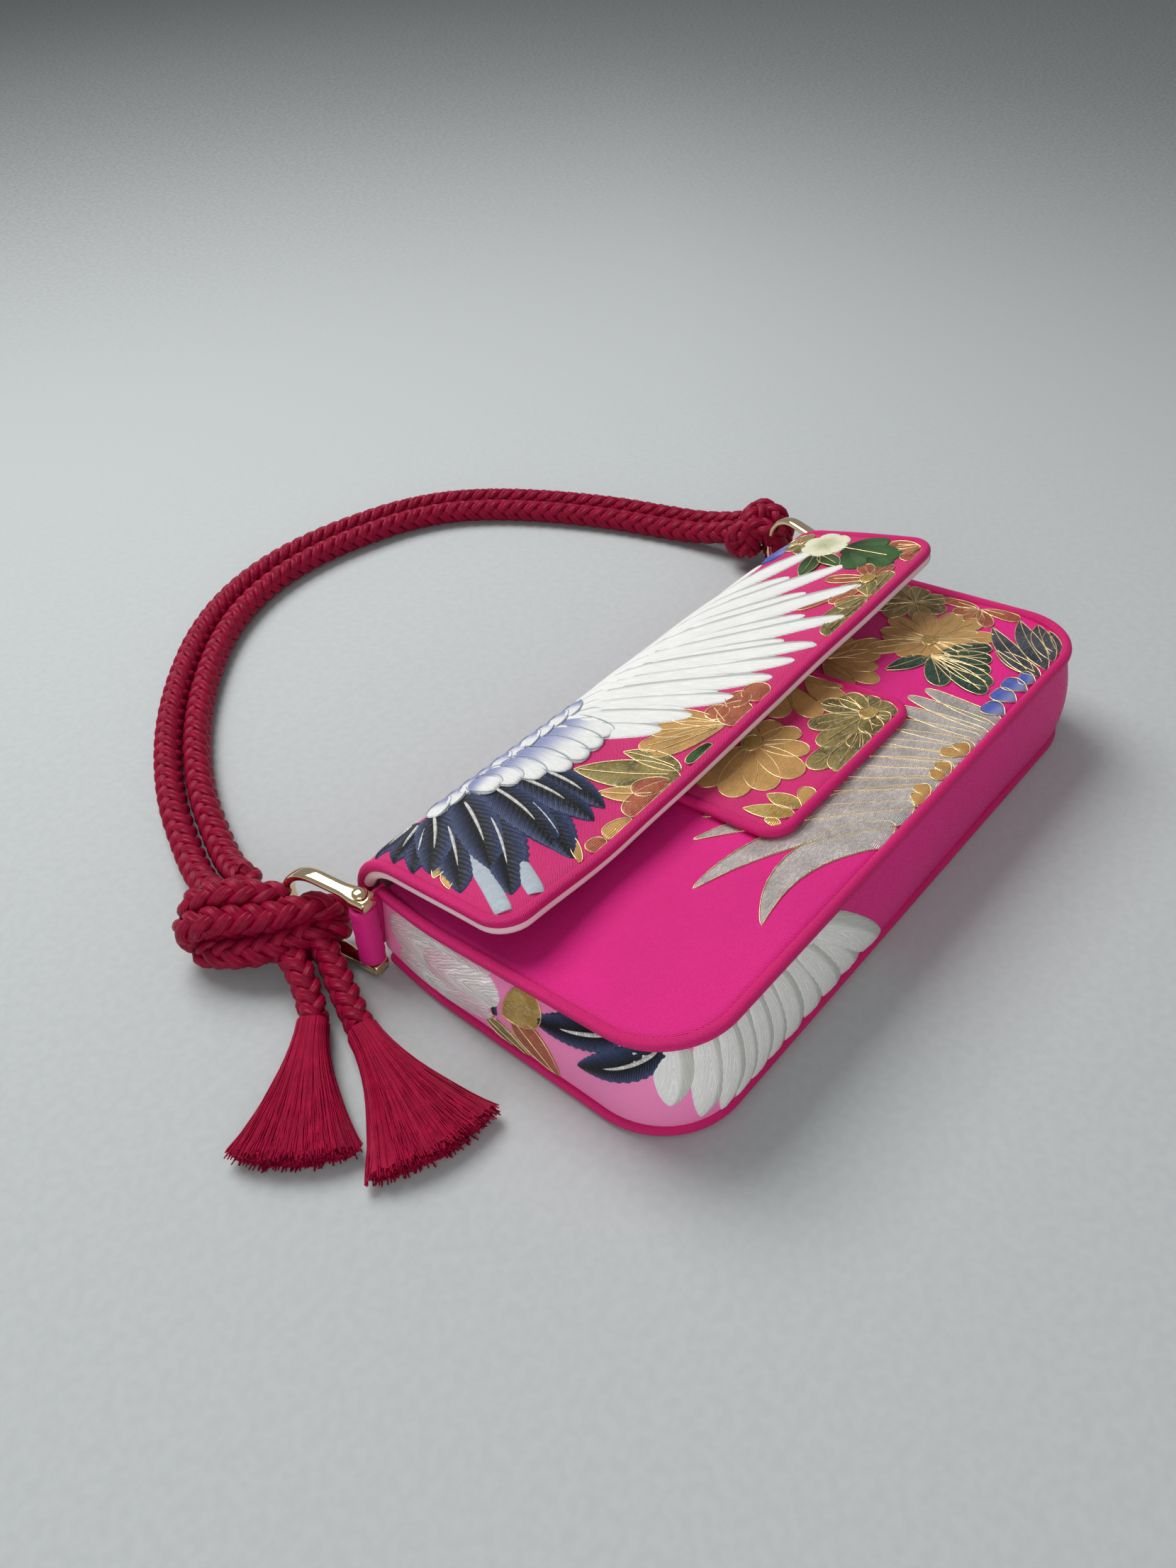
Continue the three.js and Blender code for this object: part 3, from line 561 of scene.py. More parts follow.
def silk(
    name, base, slant, root=None, band=None, split=None, rim=None, depth=0.00007, pitch=None, strokes=0.25
):
    """Stitched silk. Stitches slant away from the middle; root, band and split colour its parts, rim paints a
    paler edge for the outline stitches and the highlight they catch, and the grooves between stitches get
    painted shade.
    """
    pitch = pitch or bpy.context.scene.bag_cloth.stitch_pitch
    w = Finish(name, base, 0.4, specular=0.25)
    stitch, share = w.map("Stitch"), w.map("Share")
    along, across, _ = w.parts(stitch)
    end, side, _ = w.parts(share)
    wander = w.noise(w.scaled(stitch, 420.0), 1.0, 2.0) * (pitch * 1.6)
    slant = math.radians(slant)
    thread = abs(across) * math.cos(slant) - along * math.sin(slant) + wander
    ribs = w.ribs(thread, pitch)
    w.relief(ribs + w.ribs(thread, pitch * 0.43) * 0.4, depth, 0.7)
    tone = base
    if root:
        tone = w.mix(w.ramp(end + ribs * 0.04, 0.2, 0.7), root, tone)
    if band:
        tone = w.mix(w.ramp(side + ribs * 0.03, 0.18, 0.5), tone, band)
    if split:
        jag = abs(side) + ribs * 0.2
        tone = w.mix(w.ramp(jag, 0.28, 0.62), split, tone)
        # rim: a paler edge, partly the outline stitches and partly a painted highlight along them
        tone = w.mix(w.ramp(jag, 0.7, 1.05), tone, rim)
    stroke = w.noise(w.joined(thread / (pitch * 1.3), along * 110.0), 1.0, 1.0)
    # painted shade in the grooves between stitches, plus random darker strokes
    groove_shade_and_strokes = w.ramp(ribs, -1.0, 0.1, 0.5, 0.0) + w.ramp(stroke, 0.42, 0.7, strokes, 0.0)
    w.colour(w.math("MINIMUM", groove_shade_and_strokes, 1.0), tone, w.dimmed(tone, 0.62))


def foil(name, base, deep, painted_glint, metallic=0.6):
    """Flat metal yarn woven into the cloth: fine weft ribs with painted shade between them, and small flecks
    painted brighter as glints.
    """
    pitch, roughness = 0.00055, 0.38
    w = Finish(name, base, roughness, metallic)
    uv = w.map("Cloth")
    _, up, _ = w.parts(uv)
    drift = w.noise(w.scaled(uv, 300.0), 1.0, 2.0) * (pitch * 1.5)
    weft = w.ribs(up + drift, pitch)
    cells = {"Vector": w.vector("MULTIPLY", uv, (900.0, 2100.0, 1.0)), "Scale": 1.0}
    flecks = w.out("ShaderNodeTexVoronoi", cells, "Color")
    speck = w.out("ShaderNodeSeparateColor", {"Color": flecks})
    w.relief(weft + speck * 0.6, 0.00007, 0.8)
    tone = w.mix(w.ramp(w.noise(w.scaled(uv, 95.0), 1.0, 3.0), 0.38, 0.66), base, deep)
    # painted glints: random flecks paler than the foil
    tone = w.mix(w.ramp(speck, 0.72, 0.95, 0.0, painted_glint), tone, paler(base, 0.35))
    # painted shade between the weft ribs
    w.colour(w.ramp(weft, -1.0, 0.0, 0.45, 0.0), tone, darker(deep, 0.6))
    w.roughness(speck, 0.0, 1.0, roughness + 0.14, roughness - 0.12)


def metal(name, base, roughness):
    w = Finish(name, base, roughness, 1.0)
    haze = w.noise(w.place(), 420.0, 4.0)
    w.roughness(haze, 0.35, 0.75, roughness * 0.8, roughness * 1.6)
    w.colour(w.ramp(haze, 0.3, 0.8), base, darker(base, 0.9))
    w.relief(w.noise(w.place(), 900.0, 2.0), 0.000006, 0.4)


def board(name, base):
    w = Finish(name, base, 0.88)
    fibres = w.noise(w.vector("MULTIPLY", w.place(), (300.0, 900.0, 900.0)), 1.0, 5.0)
    w.colour(w.ramp(fibres, 0.3, 0.7), base, darker(base, 0.65))
    w.relief(fibres, 0.00015, 0.6)


def yarn(name, base, threads=9.0, roughness=0.38):
    """Silk yarn of a braid. Its fibres follow the Fibre attribute: x along a strand, y round it."""
    w = Finish(name, base, roughness, specular=0.16)
    along, around, _ = w.parts(w.out("ShaderNodeAttribute", None, "Vector", attribute_name="Fibre"))
    turned = around * threads + along * 70.0
    fine = w.ribs(turned, 1.0)
    w.relief(fine + w.ribs(turned, 0.31) * 0.5, 0.0001, 0.55)
    # lit: random patches painted brighter as highlights on the silk
    lit = w.mix(w.ramp(w.noise(w.place(), 240.0, 3.0), 0.35, 0.7), base, darker(base, 1.3))
    # painted shade in the grooves between fibres
    w.colour(w.ramp(fine, -1.0, 0.1, 0.45, 0.0), lit, darker(base, 0.55))


def floor_with_painted_falloff(name, base):
    """Even paint with painted shade: darker away from the window and to the sides, standing in for the
    light's falloff.
    """
    w = Finish(name, base, 0.85, specular=0.15)
    x, y, _ = w.parts(w.place())
    away = x * 0.75 + y * 0.66
    aside = abs(x * 0.66 - y * 0.75)
    # painted shade: the floor grows darker away from the window and to the sides
    tone = w.mix(w.ramp(away + aside * 0.45, 0.1, 1.3), base, darker(base, 0.45))
    w.colour(w.ramp(w.noise(w.place(), 320.0, 3.0), 0.3, 0.7, 0.0, 0.35), tone, darker(base, 0.85))


def finishes():
    """Every material of the bag, made once."""
    kept = {m.name: m for m in bpy.data.materials}
    if "bag_satin" in kept:
        return kept
    colours = bpy.context.scene.bag_colours
    pick = {key: tuple(getattr(colours, key)) for key in BagColours.__annotations__}
    satin_cloth("bag_satin", pick["satin"])
    satin_cloth("bag_flap_satin", pick["flap_satin"])
    satin_cloth("bag_gusset", pick["satin"], pick["pale_satin"])
    satin_cloth("bag_piping", pick["piping"], roughness=0.46)
    plain_cloth("bag_lining", pick["lining"])
    board("bag_board", (0.36, 0.3, 0.22))
    metal("bag_magnet", (0.5, 0.5, 0.51), 0.32)
    metal("bag_gold", pick["ring_gold"], 0.08)
    metal("bag_gold_thread", pick["gold_thread"], 0.4)
    white, green, blue = (pick[f"{name}_silk"] for name in ("white", "green", "blue"))
    end_white = (0.95, 0.9, 0.88)
    coarse = {"depth": 0.0002, "pitch": 0.001, "strokes": 0.6}
    silk("bag_white_silk", white, 6.0, band=pick["grey_silk"])
    silk("bag_scale_silk", white, 4.0, root=(0.3, 0.33, 0.58), strokes=0.35)
    silk("bag_end_white_silk", end_white, 20.0, root=pick["pink_silk"], **coarse)
    silk("bag_end_pink_silk", pick["pink_silk"], 12.0, root=end_white, **coarse)
    silk(
        "bag_navy_silk", pick["navy_silk"], 48.0, split=(0.002, 0.0022, 0.004), rim=(0.07, 0.095, 0.2),
        pitch=0.0006, strokes=0.4,
    )
    silk("bag_green_silk", green, 42.0, root=darker(green, 0.35))
    silk("bag_blue_silk", blue, 12.0, root=paler(blue, 0.2))
    silk("bag_cream_silk", (0.86, 0.84, 0.62), 8.0, root=(0.6, 0.6, 0.36))
    silk("bag_stem_silk", (0.5, 0.56, 0.62), 60.0)
    silk("bag_end_feather_silk", (0.98, 0.97, 0.93), 8.0, band=(0.68, 0.68, 0.62), strokes=0.3)
    silk("bag_silver_silk", (0.8, 0.8, 0.76), 50.0, depth=0.0002, pitch=0.0009, strokes=0.7)
    foil("bag_gold_foil", pick["gold_foil"], darker(pick["gold_foil"], 0.78), 0.25, 0.3)
    foil("bag_yellow_foil", (0.72, 0.52, 0.14), (0.5, 0.3, 0.07), 0.6)
    foil("bag_olive_foil", pick["olive_foil"], darker(pick["olive_foil"], 0.45), 0.7)
    foil("bag_silver_foil", pick["silver_foil"], darker(pick["silver_foil"], 0.7), 0.8)
    foil("bag_slate_foil", (0.1, 0.11, 0.14), (0.045, 0.05, 0.07), 0.3)
    foil("bag_leaf_foil", (0.05, 0.11, 0.07), (0.02, 0.05, 0.035), 0.3)
    foil("bag_blossom_foil", (0.5, 0.13, 0.06), (0.34, 0.08, 0.035), 0.3, 0.3)
    yarn("bag_rope", pick["rope"])
    yarn("bag_tassel", pick["tassel"], 16.0, 0.42)
    floor_with_painted_falloff("studio_floor", pick["floor"])
    return {m.name: m for m in bpy.data.materials}


# Shapes that repeat along a path, made by geometry nodes

def new_tree(name, sizes):
    """A geometry tree with one input for each size, and its wiring, inputs and output node."""
    tree = bpy.data.node_groups.new(name, "GeometryNodeTree")
    tree.interface.new_socket("Geometry", in_out="INPUT", socket_type="NodeSocketGeometry")
    kinds = {int: "NodeSocketInt", float: "NodeSocketFloat", type(None): "NodeSocketMaterial"}
    for label, value in {**sizes, "Material": None}.items():
        socket = tree.interface.new_socket(label, in_out="INPUT", socket_type=kinds[type(value)])
        if value is not None:
            socket.default_value = value
    tree.interface.new_socket("Geometry", in_out="OUTPUT", socket_type="NodeSocketGeometry")
    w = Wiring(tree)
    given = {output.name: Flow(w, output) for output in w.node("NodeGroupInput").outputs}
    return tree, w, given


def close_tree(w, geometry, material):
    real = w.out("GeometryNodeRealizeInstances", {"Geometry": geometry})
    w.node("NodeGroupOutput", {0: w.out("GeometryNodeSetMaterial", {"Geometry": real, "Material": material})})


def curve_of(w, given, mode, **size):
    curve = w.out("GeometryNodeMeshToCurve", {"Mesh": given["Geometry"]})
    return w.out("GeometryNodeResampleCurve", {"Curve": curve, **size}, mode=mode)


def circle(w, sides, radius):
    return w.out("GeometryNodeCurvePrimitiveCircle", {"Resolution": sides, "Radius": radius})


def sweep(w, curve, profile):
    return w.out("GeometryNodeCurveToMesh", {"Curve": curve, "Profile Curve": profile, "Fill Caps": True})


def copied(w, curve, amount):
    """Copies of a curve, and the number of each copy."""
    made = w.node("GeometryNodeDuplicateElements", {"Geometry": curve, "Amount": amount}, domain="SPLINE")
    return Flow(w, made.outputs["Geometry"]), Flow(w, made.outputs["Duplicate Index"])


def captured(w, geometry, **values):
    """A curve that keeps values on its points, and the kept values, each given with its kind."""
    made = w.node("GeometryNodeCaptureAttribute", {"Geometry": geometry}, domain="POINT")
    for name, (kind, value) in values.items():
        made.capture_items.new(kind, name)
        w.feed(made.inputs[name], value)
    return [Flow(w, made.outputs[name]) for name in ("Geometry", *values)]


def set_fibre(w, geometry, along, around):
    inputs = {"Geometry": geometry, "Name": "Fibre", "Value": w.joined(along, around)}
    return w.out("GeometryNodeStoreNamedAttribute", inputs, data_type="FLOAT_VECTOR", domain="POINT")


def braid_tree(name):
    """Eight flat strands, four each way, that pass over two and under two round a core."""
    tree, w, given = new_tree(name, {
        "Diameter": 0.0108, "Pitch": 0.027, "Strand Width": 0.42, "Strand Thickness": 0.31, "Step": 0.0014,
        "Strands": 8,
    })
    diameter = given["Diameter"]
    curve = curve_of(w, given, "LENGTH", Length=given["Step"])
    core = sweep(w, curve, circle(w, 10, diameter * 0.3))
    copies, number = copied(w, curve, given["Strands"])
    half = w.math("FLOOR", number / 2.0)
    odd = number - half * 2.0
    run = w.out("GeometryNodeSplineParameter", None, "Length")
    turns = run / given["Pitch"]
    angle = (turns * (1.0 - odd * 2.0) + half / (given["Strands"] / 2.0)) * (2 * math.pi)
    start = 0.5 + odd + half % 2.0 * 2.0
    wave = w.math("COSINE", (turns * 8.0 - start) * (math.pi / 2))
    flat = wave * (1.35 - wave * wave * 0.35)
    lift = diameter * 0.285 + flat * (diameter * 0.085)
    side = w.out("GeometryNodeInputNormal", None, "Normal")
    up = w.vector("CROSS_PRODUCT", w.out("GeometryNodeInputTangent"), side)
    out = w.vector("ADD", w.scaled(side, w.math("COSINE", angle)), w.scaled(up, w.math("SINE", angle)))
    kept = {"Out": ("VECTOR", out), "Run": ("FLOAT", run), "Lift": ("FLOAT", lift)}
    copies, out, run, lift = captured(w, copies, **kept)
    moved = w.out("GeometryNodeSetPosition", {"Geometry": copies, "Offset": w.scaled(out, lift)})
    aimed = w.out("GeometryNodeSetCurveNormal", {"Curve": moved, "Normal": out}, mode="FREE")
    size = w.joined(diameter * given["Strand Thickness"], diameter * given["Strand Width"], 1.0)
    profile = w.out("GeometryNodeTransform", {"Geometry": circle(w, 10, 0.5), "Scale": size})
    factor = w.out("GeometryNodeSplineParameter", None, "Factor")
    profile, around = captured(w, profile, Around=("FLOAT", factor))
    joined = w.node("GeometryNodeJoinGeometry")
    w.feed(joined.inputs[0], core)
    w.feed(joined.inputs[0], set_fibre(w, sweep(w, aimed, profile), run, around))
    close_tree(w, Flow(w, joined.outputs[0]), given["Material"])
    return tree


def thread_tree(name):
    """A round thread that follows each path."""
    tree, w, given = new_tree(name, {"Radius": 0.00022, "Step": 0.0012})
    curve = curve_of(w, given, "LENGTH", Length=given["Step"])
    close_tree(w, sweep(w, curve, circle(w, 5, given["Radius"])), given["Material"])
    return tree


def tassel_tree(name):
    """Threads that fan out from a neck and end unevenly. The path runs straight, one metre long."""
    tree, w, given = new_tree(name, {
        "Length": 0.05, "Heading": 0.0, "Spread": 0.8, "Neck X": 0.0, "Neck Y": 0.0, "Neck Height": 0.01,
        "End Height": 0.008, "Thread Radius": 0.0003, "Threads": 600, "Seed": 3,
    })
    copies, number = copied(w, curve_of(w, given, "COUNT", Count=11), given["Threads"])

    def chance(low, high, shift):
        inputs = {2: low, 3: high, "ID": number, "Seed": given["Seed"] + float(shift)}
        return w.out("FunctionNodeRandomValue", inputs, 1, data_type="FLOAT")

    def from_neck(operation):
        """How far a thread lies from the neck, along x by the cosine and along y by the sine."""
        return reach * w.math(operation, angle) + off * w.math(operation, square)

    across = chance(-1.0, 1.0, 0)
    tall = 1.0 - chance(0.0, 1.0, 1) ** 1.6 * 2.0
    cut = chance(0.95, 1.02, 2)
    share = w.out("GeometryNodeSplineParameter", None, "Factor")
    width = w.math("SQRT", w.math("MAXIMUM", 1.0 - tall * tall, 0.1))
    wave = w.math("SINE", share * 9.0 + chance(0.0, 6.28, 3))
    bent = across * width ** 0.5 + wave * share * chance(0.0, 0.05, 4)
    angle = given["Heading"] - bent * given["Spread"] * w.math("SQRT", share) * 0.5
    reach = share * given["Length"] * cut
    off = bent * (given["Neck Height"] * 0.5) * (1.0 - share * 0.5)
    square = given["Heading"] - math.pi / 2
    opened = w.ramp(share, 0.0, 1.0)
    height = given["Neck Height"] * (1.0 - opened) + given["End Height"] * opened
    z = w.math("MAXIMUM", height * 0.5 * (1.0 + tall * 0.96), given["Thread Radius"])
    spot = w.joined(given["Neck X"] + from_neck("COSINE"), given["Neck Y"] + from_neck("SINE"), z)
    copies, run = captured(w, copies, Run=("FLOAT", share))
    moved = w.out("GeometryNodeSetPosition", {"Geometry": copies, "Position": spot})
    threads = sweep(w, moved, circle(w, 4, given["Thread Radius"]))
    close_tree(w, set_fibre(w, threads, run, across), given["Material"])
    return tree


TREES = {"Braided rope": braid_tree, "Laid thread": thread_tree, "Tassel threads": tassel_tree}


def grow(name, paths, kind, material, values):
    """Runs a tree on paths of points in millimetres and returns a plain mesh object."""
    tree = bpy.data.node_groups.get(kind) or TREES[kind](kind)
    points, edges = [], []
    for path, closed in paths:
        first = len(points)
        points += (np.asarray(path, float) * MM).tolist()
        edges += [(i, i + 1) for i in range(first, len(points) - 1)]
        if closed:
            edges.append((len(points) - 1, first))
    base = bpy.data.meshes.new(name + "_path")
    base.from_pydata(points, edges, [])
    host = link(name + "_path", base)
    modifier = host.modifiers.new("Shape", "NODES")
    modifier.node_group = tree
    values = {**values, "Material": finishes()[material]}
    for item in tree.interface.items_tree:
        if item.item_type == "SOCKET" and item.in_out == "INPUT" and item.name in values:
            modifier[item.identifier] = values[item.name]
    graph = bpy.context.evaluated_depsgraph_get()
    whole = host.evaluated_get(graph)
    mesh = bpy.data.meshes.new_from_object(whole, preserve_all_data_layers=True, depsgraph=graph)
    bpy.data.objects.remove(host)
    bpy.data.meshes.remove(base)
    if not mesh.polygons:
        raise RuntimeError(f"{name} came out empty")
    mesh.name = name
    mesh.polygons.foreach_set("use_smooth", [True] * len(mesh.polygons))
    mesh.polygons.foreach_set("material_index", [0] * len(mesh.polygons))
    return link(name, mesh, material)


# Ropes, knots and tassels

def smooth_path(points, step=1.2):
    """A smooth path through points, with even short steps."""
    p = np.asarray(points, float)
    p = np.vstack([2 * p[0] - p[1], p, 2 * p[-1] - p[-2]])
    knots = np.concatenate([[0], np.cumsum(np.linalg.norm(np.diff(p, axis=0), axis=1) ** 0.5)])
    out = []
    for i in range(1, len(p) - 2):
        t0, t1, t2, t3 = knots[i - 1:i + 3]
        t = np.linspace(t1, t2, 24, endpoint=False)[:, None]
        a1 = (t1 - t) / (t1 - t0) * p[i - 1] + (t - t0) / (t1 - t0) * p[i]
        a2 = (t2 - t) / (t2 - t1) * p[i] + (t - t1) / (t2 - t1) * p[i + 1]
        a3 = (t3 - t) / (t3 - t2) * p[i + 1] + (t - t2) / (t3 - t2) * p[i + 2]
        b1 = (t2 - t) / (t2 - t0) * a1 + (t - t0) / (t2 - t0) * a2
        b2 = (t3 - t) / (t3 - t1) * a2 + (t - t1) / (t3 - t1) * a3
        out.append((t2 - t) / (t2 - t1) * b1 + (t - t1) / (t2 - t1) * b2)
    path = np.vstack([*out, p[-2][None]])
    run = run_lengths(path)
    even = np.linspace(0, run[-1], max(4, int(run[-1] / step) + 1))
    return np.stack([np.interp(even, run, path[:, k]) for k in range(3)], 1)


STRAP_Y, STRAP_Z, ROPE_Z, ROPE_GAP = 115.0, 13.5, 5.4, 11.3
STRAP_ROUTE = [
    (-148, STRAP_Y, STRAP_Z), (-145.9, 126, 9.4), (-142.3, 137, 6.6), (-137, 150, ROPE_Z),
    (-127.8, 170, ROPE_Z), (-116.5, 189, ROPE_Z), (-103.4, 207, ROPE_Z), (-88.7, 223.5, ROPE_Z),
    (-72.7, 238.5, ROPE_Z), (-55.5, 252, ROPE_Z), (-36.4, 263, ROPE_Z), (-15.6, 270.5, ROPE_Z),
    (6.2, 273.8, ROPE_Z), (28.2, 273, ROPE_Z), (49.9, 268.8, ROPE_Z), (70.9, 262, ROPE_Z),
    (89.8, 251, ROPE_Z), (105.4, 235.4, ROPE_Z), (117.9, 217.3, ROPE_Z), (128.4, 198, ROPE_Z),
    (137.4, 177.7, ROPE_Z), (144.5, 157, ROPE_Z), (149, 139, 6.6), (151.5, 126, 9.4),
    (153, STRAP_Y, STRAP_Z),
]
ROPE_ENDS = {"outer": 1, "inner": -1}
TAIL_PITCH = 0.023
TAIL_ROUTES = {
    "left": [
        (-155.3, 76, 12.6), (-157.9, 68, 10.4), (-159.6, 64.3, 8.6), (-161.9, 60, 6.8), (-165.2, 54.9, 5.2),
    ],
    "right": [
        (-144.6, 76, 13.2), (-146.6, 68, 10.4), (-149.8, 60.5, 8.6), (-153.4, 52, 6.8), (-157.8, 41, 5.2),
    ],
}
TASSELS = {
    "left": {"neck": (-166.1, 54.4), "length": 48.5, "heading": -138.0, "spread": 43.0},
    "right": {"neck": (-158.1, 40.3), "length": 51.5, "heading": -106.5, "spread": 46.0},
}
NECK_HEIGHT, END_HEIGHT = 10.2, 8.0

# Turns of the knot and the hitch: along and across from each one's middle, and above the floor.
KNOT_CENTRE, KNOT_HEADING = (-153.0, 95.0), -54.0
KNOT_TURNS = {
    "knot_turn_back": [
        (14, 7, 9), (4, 9.5, 7), (-8, 8.5, 6.5), (-18, 6, 8), (-23, 2, 13), (-20, 2, 20), (-11, 2.5, 23.6),
        (0, 3.5, 23), (9, 5, 20),
    ],
    "knot_turn_top": [
        (-12, 1, 8), (-20, -3, 8), (-22.5, -5, 14), (-16, -6.5, 19.5), (-6, -5.5, 20.4), (5, -4.4, 20.8),
        (13, -2.5, 22), (20.5, 1, 21), (25, 4.2, 15), (23, 6, 8.5),
    ],
    "knot_turn_front": [
        (-13, -1, 6), (-17, -7, 6.4), (-9, -10.5, 9.6), (2, -10.5, 11.6), (12, -8, 13.8), (21, -3.5, 14.6),
        (26, 2, 11), (23, 6, 7),
    ],
    "knot_turn_under": [(-16, -3, 12), (-8, -4, 13), (2, -4, 13), (12, -2, 14), (19, 1, 13)],
    "knot_lead_outer": [(-16.6, 11.2, 13.5), (-13, 7.5, 14), (-7, 3, 13), (2, 1, 12)],
    "knot_lead_inner": [(-9.9, 20.4, 13.5), (-7.4, 14, 13.5), (-3, 8, 12.5), (3, 3, 12)],
    "knot_stub_left": [(6, -3, 9), (13, -7, 11), (18, -9.6, 12.6)],
    "knot_stub_right": [(12, 0, 12), (18, -3, 13), (22, -4, 13.2)],
}
HITCH_CENTRE, HITCH_HEADING = (150.0, 100.5), -75.0
HITCH_TURNS = {
    "hitch_turn_top": [(-8, 6, 8), (-9.5, 7.5, 16), (-3, 7.5, 23.6), (5, 5.5, 22), (9, 3, 14), (6, 2, 8)],
    "hitch_turn_front": [
        (-9, -6.5, 8), (-10.5, -7, 15), (-4, -7, 22), (4, -6, 21), (8.5, -4, 14), (5, -3, 8),
    ],
    "hitch_band": [(-3, -9, 10), (-4.5, -6.5, 20.5), (-4.5, 0, 25), (-4.5, 7, 20), (-3.5, 9, 11)],
    "hitch_lead_outer": [(-13.6, 9.2, 13.5), (-8, 6.5, 13.6), (0, 4, 13)],
    "hitch_lead_inner": [(-15.2, -1.6, 13.5), (-9, -3, 13.6), (0, -3, 13)],
}


def rope_route(side):
    """One of the two ropes: side 1 lies outside, side -1 inside."""
    line = np.array(STRAP_ROUTE, float)
    heading = np.zeros_like(line[:, :2])
    heading[1:-1] = line[2:, :2] - line[:-2, :2]
    heading[0], heading[-1] = line[1, :2] - line[0, :2], line[-1, :2] - line[-2, :2]
    heading /= np.linalg.norm(heading, axis=1)[:, None]
    line[:, 0] -= heading[:, 1] * side * ROPE_GAP / 2
    line[:, 1] += heading[:, 0] * side * ROPE_GAP / 2
    line[[0, -1], 1] = STRAP_Y
    return smooth_path(line)


def knot_path(points, centre, heading):
    """Points given along and across a knot, turned and moved to it. Their heights stay."""
    angle = math.radians(heading)
    along = np.array([math.cos(angle), math.sin(angle)])
    across = np.array([-along[1], along[0]])
    p = np.asarray(points, float)
    flat = np.outer(p[:, 0], along) + np.outer(p[:, 1], across)
    return smooth_path(np.column_stack([flat + np.array(centre), p[:, 2]]))


def braid(name, path, diameter=None, pitch=None):
    sizes = bpy.context.scene.bag_ropes
    values = {"Diameter": diameter or sizes.diameter, "Pitch": pitch or sizes.pitch}
    return grow(name, [(path, False)], "Braided rope", "bag_rope", values)


def tassel_body(name, shape):
    """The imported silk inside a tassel, a little smaller than its outer threads."""
    rows, around = 30, 48
    share = np.linspace(0, 1, rows)[:, None]
    turn = full_turn(around)[None, :]
    ripple = 1 + 0.02 * np.sin(turn * 17) + 0.015 * np.sin(turn * 29 + 1)
    across = (blunt(np.cos(turn), 0.7) + 0 * share) * ripple * 0.95
    tall = blunt(np.sin(turn), 0.7) * ripple * 0.9
    heading = math.radians(shape["heading"])
    angle = heading - across * math.radians(shape["spread"]) * np.sqrt(share) / 2
    off = across * NECK_HEIGHT / 2 * (1 - share / 2)
    reach = share * shape["length"] * (0.975 + 0.012 * np.sin(turn * 23))
    x = shape["neck"][0] + reach * np.cos(angle) + off * math.cos(heading - math.pi / 2)
    y = shape["neck"][1] + reach * np.sin(angle) + off * math.sin(heading - math.pi / 2)
    height = NECK_HEIGHT + (END_HEIGHT - NECK_HEIGHT) * smoothstep(share, 0, 1)
    z = np.maximum(height / 2 * (1 + tall), 0.15)
    piece = tube(name, np.stack([x, y, z], -1), "bag_tassel")
    fibre = piece.data.attributes.new("Fibre", "FLOAT_VECTOR", "POINT")
    values = np.stack([share * 0.02 + 0 * across, across * 3, 0 * across], -1)
    fibre.data.foreach_set("vector", values.astype(np.float32).ravel())
    return piece


# Pieces of the bag

class BagStep:
    """The options of every operator of the bag."""

    bl_options = {"REGISTER", "UNDO"}


FLOOR_HALF, FLOOR_Z = 3.0, -0.0002


class BAG_OT_stage(BagStep, bpy.types.Operator):
    """Sets the camera, the lights and the floor"""

    bl_idname = "bag.stage"
    bl_label = "Stage"

    def execute(self, context):
        place_camera(context.scene)
        place_lights(context.scene)
        corners = [(FLOOR_HALF * x, FLOOR_HALF * y, FLOOR_Z) for x, y in ((-1, -1), (1, -1), (1, 1), (-1, 1))]
        mesh = bpy.data.meshes.new("studio_floor")
        mesh.from_pydata(corners, [], [(0, 1, 2, 3)])
        floor = link("studio_floor", mesh, "studio_floor")
        return {"FINISHED"}


CAMERA_PLACE = Vector((-0.29322, -0.17880, 0.32578))
CAMERA_LENS, CAMERA_SENSOR = 29.147, 36.0
CAMERA_TURN, CAMERA_RISE, CAMERA_ROLL = -48.3, 41.79, -2.33


def place_camera(scene):
    data = bpy.data.cameras.new("Camera")
    data.sensor_fit, data.sensor_height, data.lens = "VERTICAL", CAMERA_SENSOR, CAMERA_LENS
    data.clip_start, data.clip_end = 0.01, 20.0
    turn, rise, roll = (math.radians(a) for a in (CAMERA_TURN, CAMERA_RISE, CAMERA_ROLL))
    back = Vector((math.sin(turn) * math.cos(rise), -math.cos(turn) * math.cos(rise), math.sin(rise)))
    right = Vector((0, 0, 1)).cross(back).normalized()
    up = back.cross(right)
    leaning = right * math.cos(roll) + up * math.sin(roll)
    upward = up * math.cos(roll) - right * math.sin(roll)
    camera = bpy.data.objects.new("Camera", data)
    scene.collection.objects.link(camera)
    turned = Matrix((leaning, upward, back)).transposed().to_4x4()
    camera.matrix_world = Matrix.Translation(CAMERA_PLACE) @ turned
    scene.camera = camera
    scene.view_settings.view_transform = "Standard"


LIGHTS = {
    "Window": {"place": (0.05, 0.8, 1.05), "aim": (-0.05, 0.05, 0.0), "size": 0.8, "power": 17.0},
    "Fill": {"place": (-1.1, -0.75, 0.5), "aim": (0.0, 0.0, 0.0), "size": 1.0, "power": 7.4},
}
WORLD_COLOUR, WORLD_LEVEL = (0.93, 0.96, 1.0, 1.0), 0.3


def place_lights(scene):
    for name, light in LIGHTS.items():
        data = bpy.data.lights.new(name, "AREA")
        data.size, data.energy = light["size"], light["power"]
        lamp = bpy.data.objects.new(name, data)
        scene.collection.objects.link(lamp)
        place = Vector(light["place"])
        facing = (Vector(light["aim"]) - place).to_track_quat("-Z", "Y").to_matrix().to_4x4()
        lamp.matrix_world = Matrix.Translation(place) @ facing
    world = bpy.data.worlds.new("Studio")
    world.use_nodes = True
    shader = world.node_tree.nodes["Background"]
    shader.inputs["Color"].default_value = WORLD_COLOUR
    shader.inputs["Strength"].default_value = WORLD_LEVEL
    scene.world = world


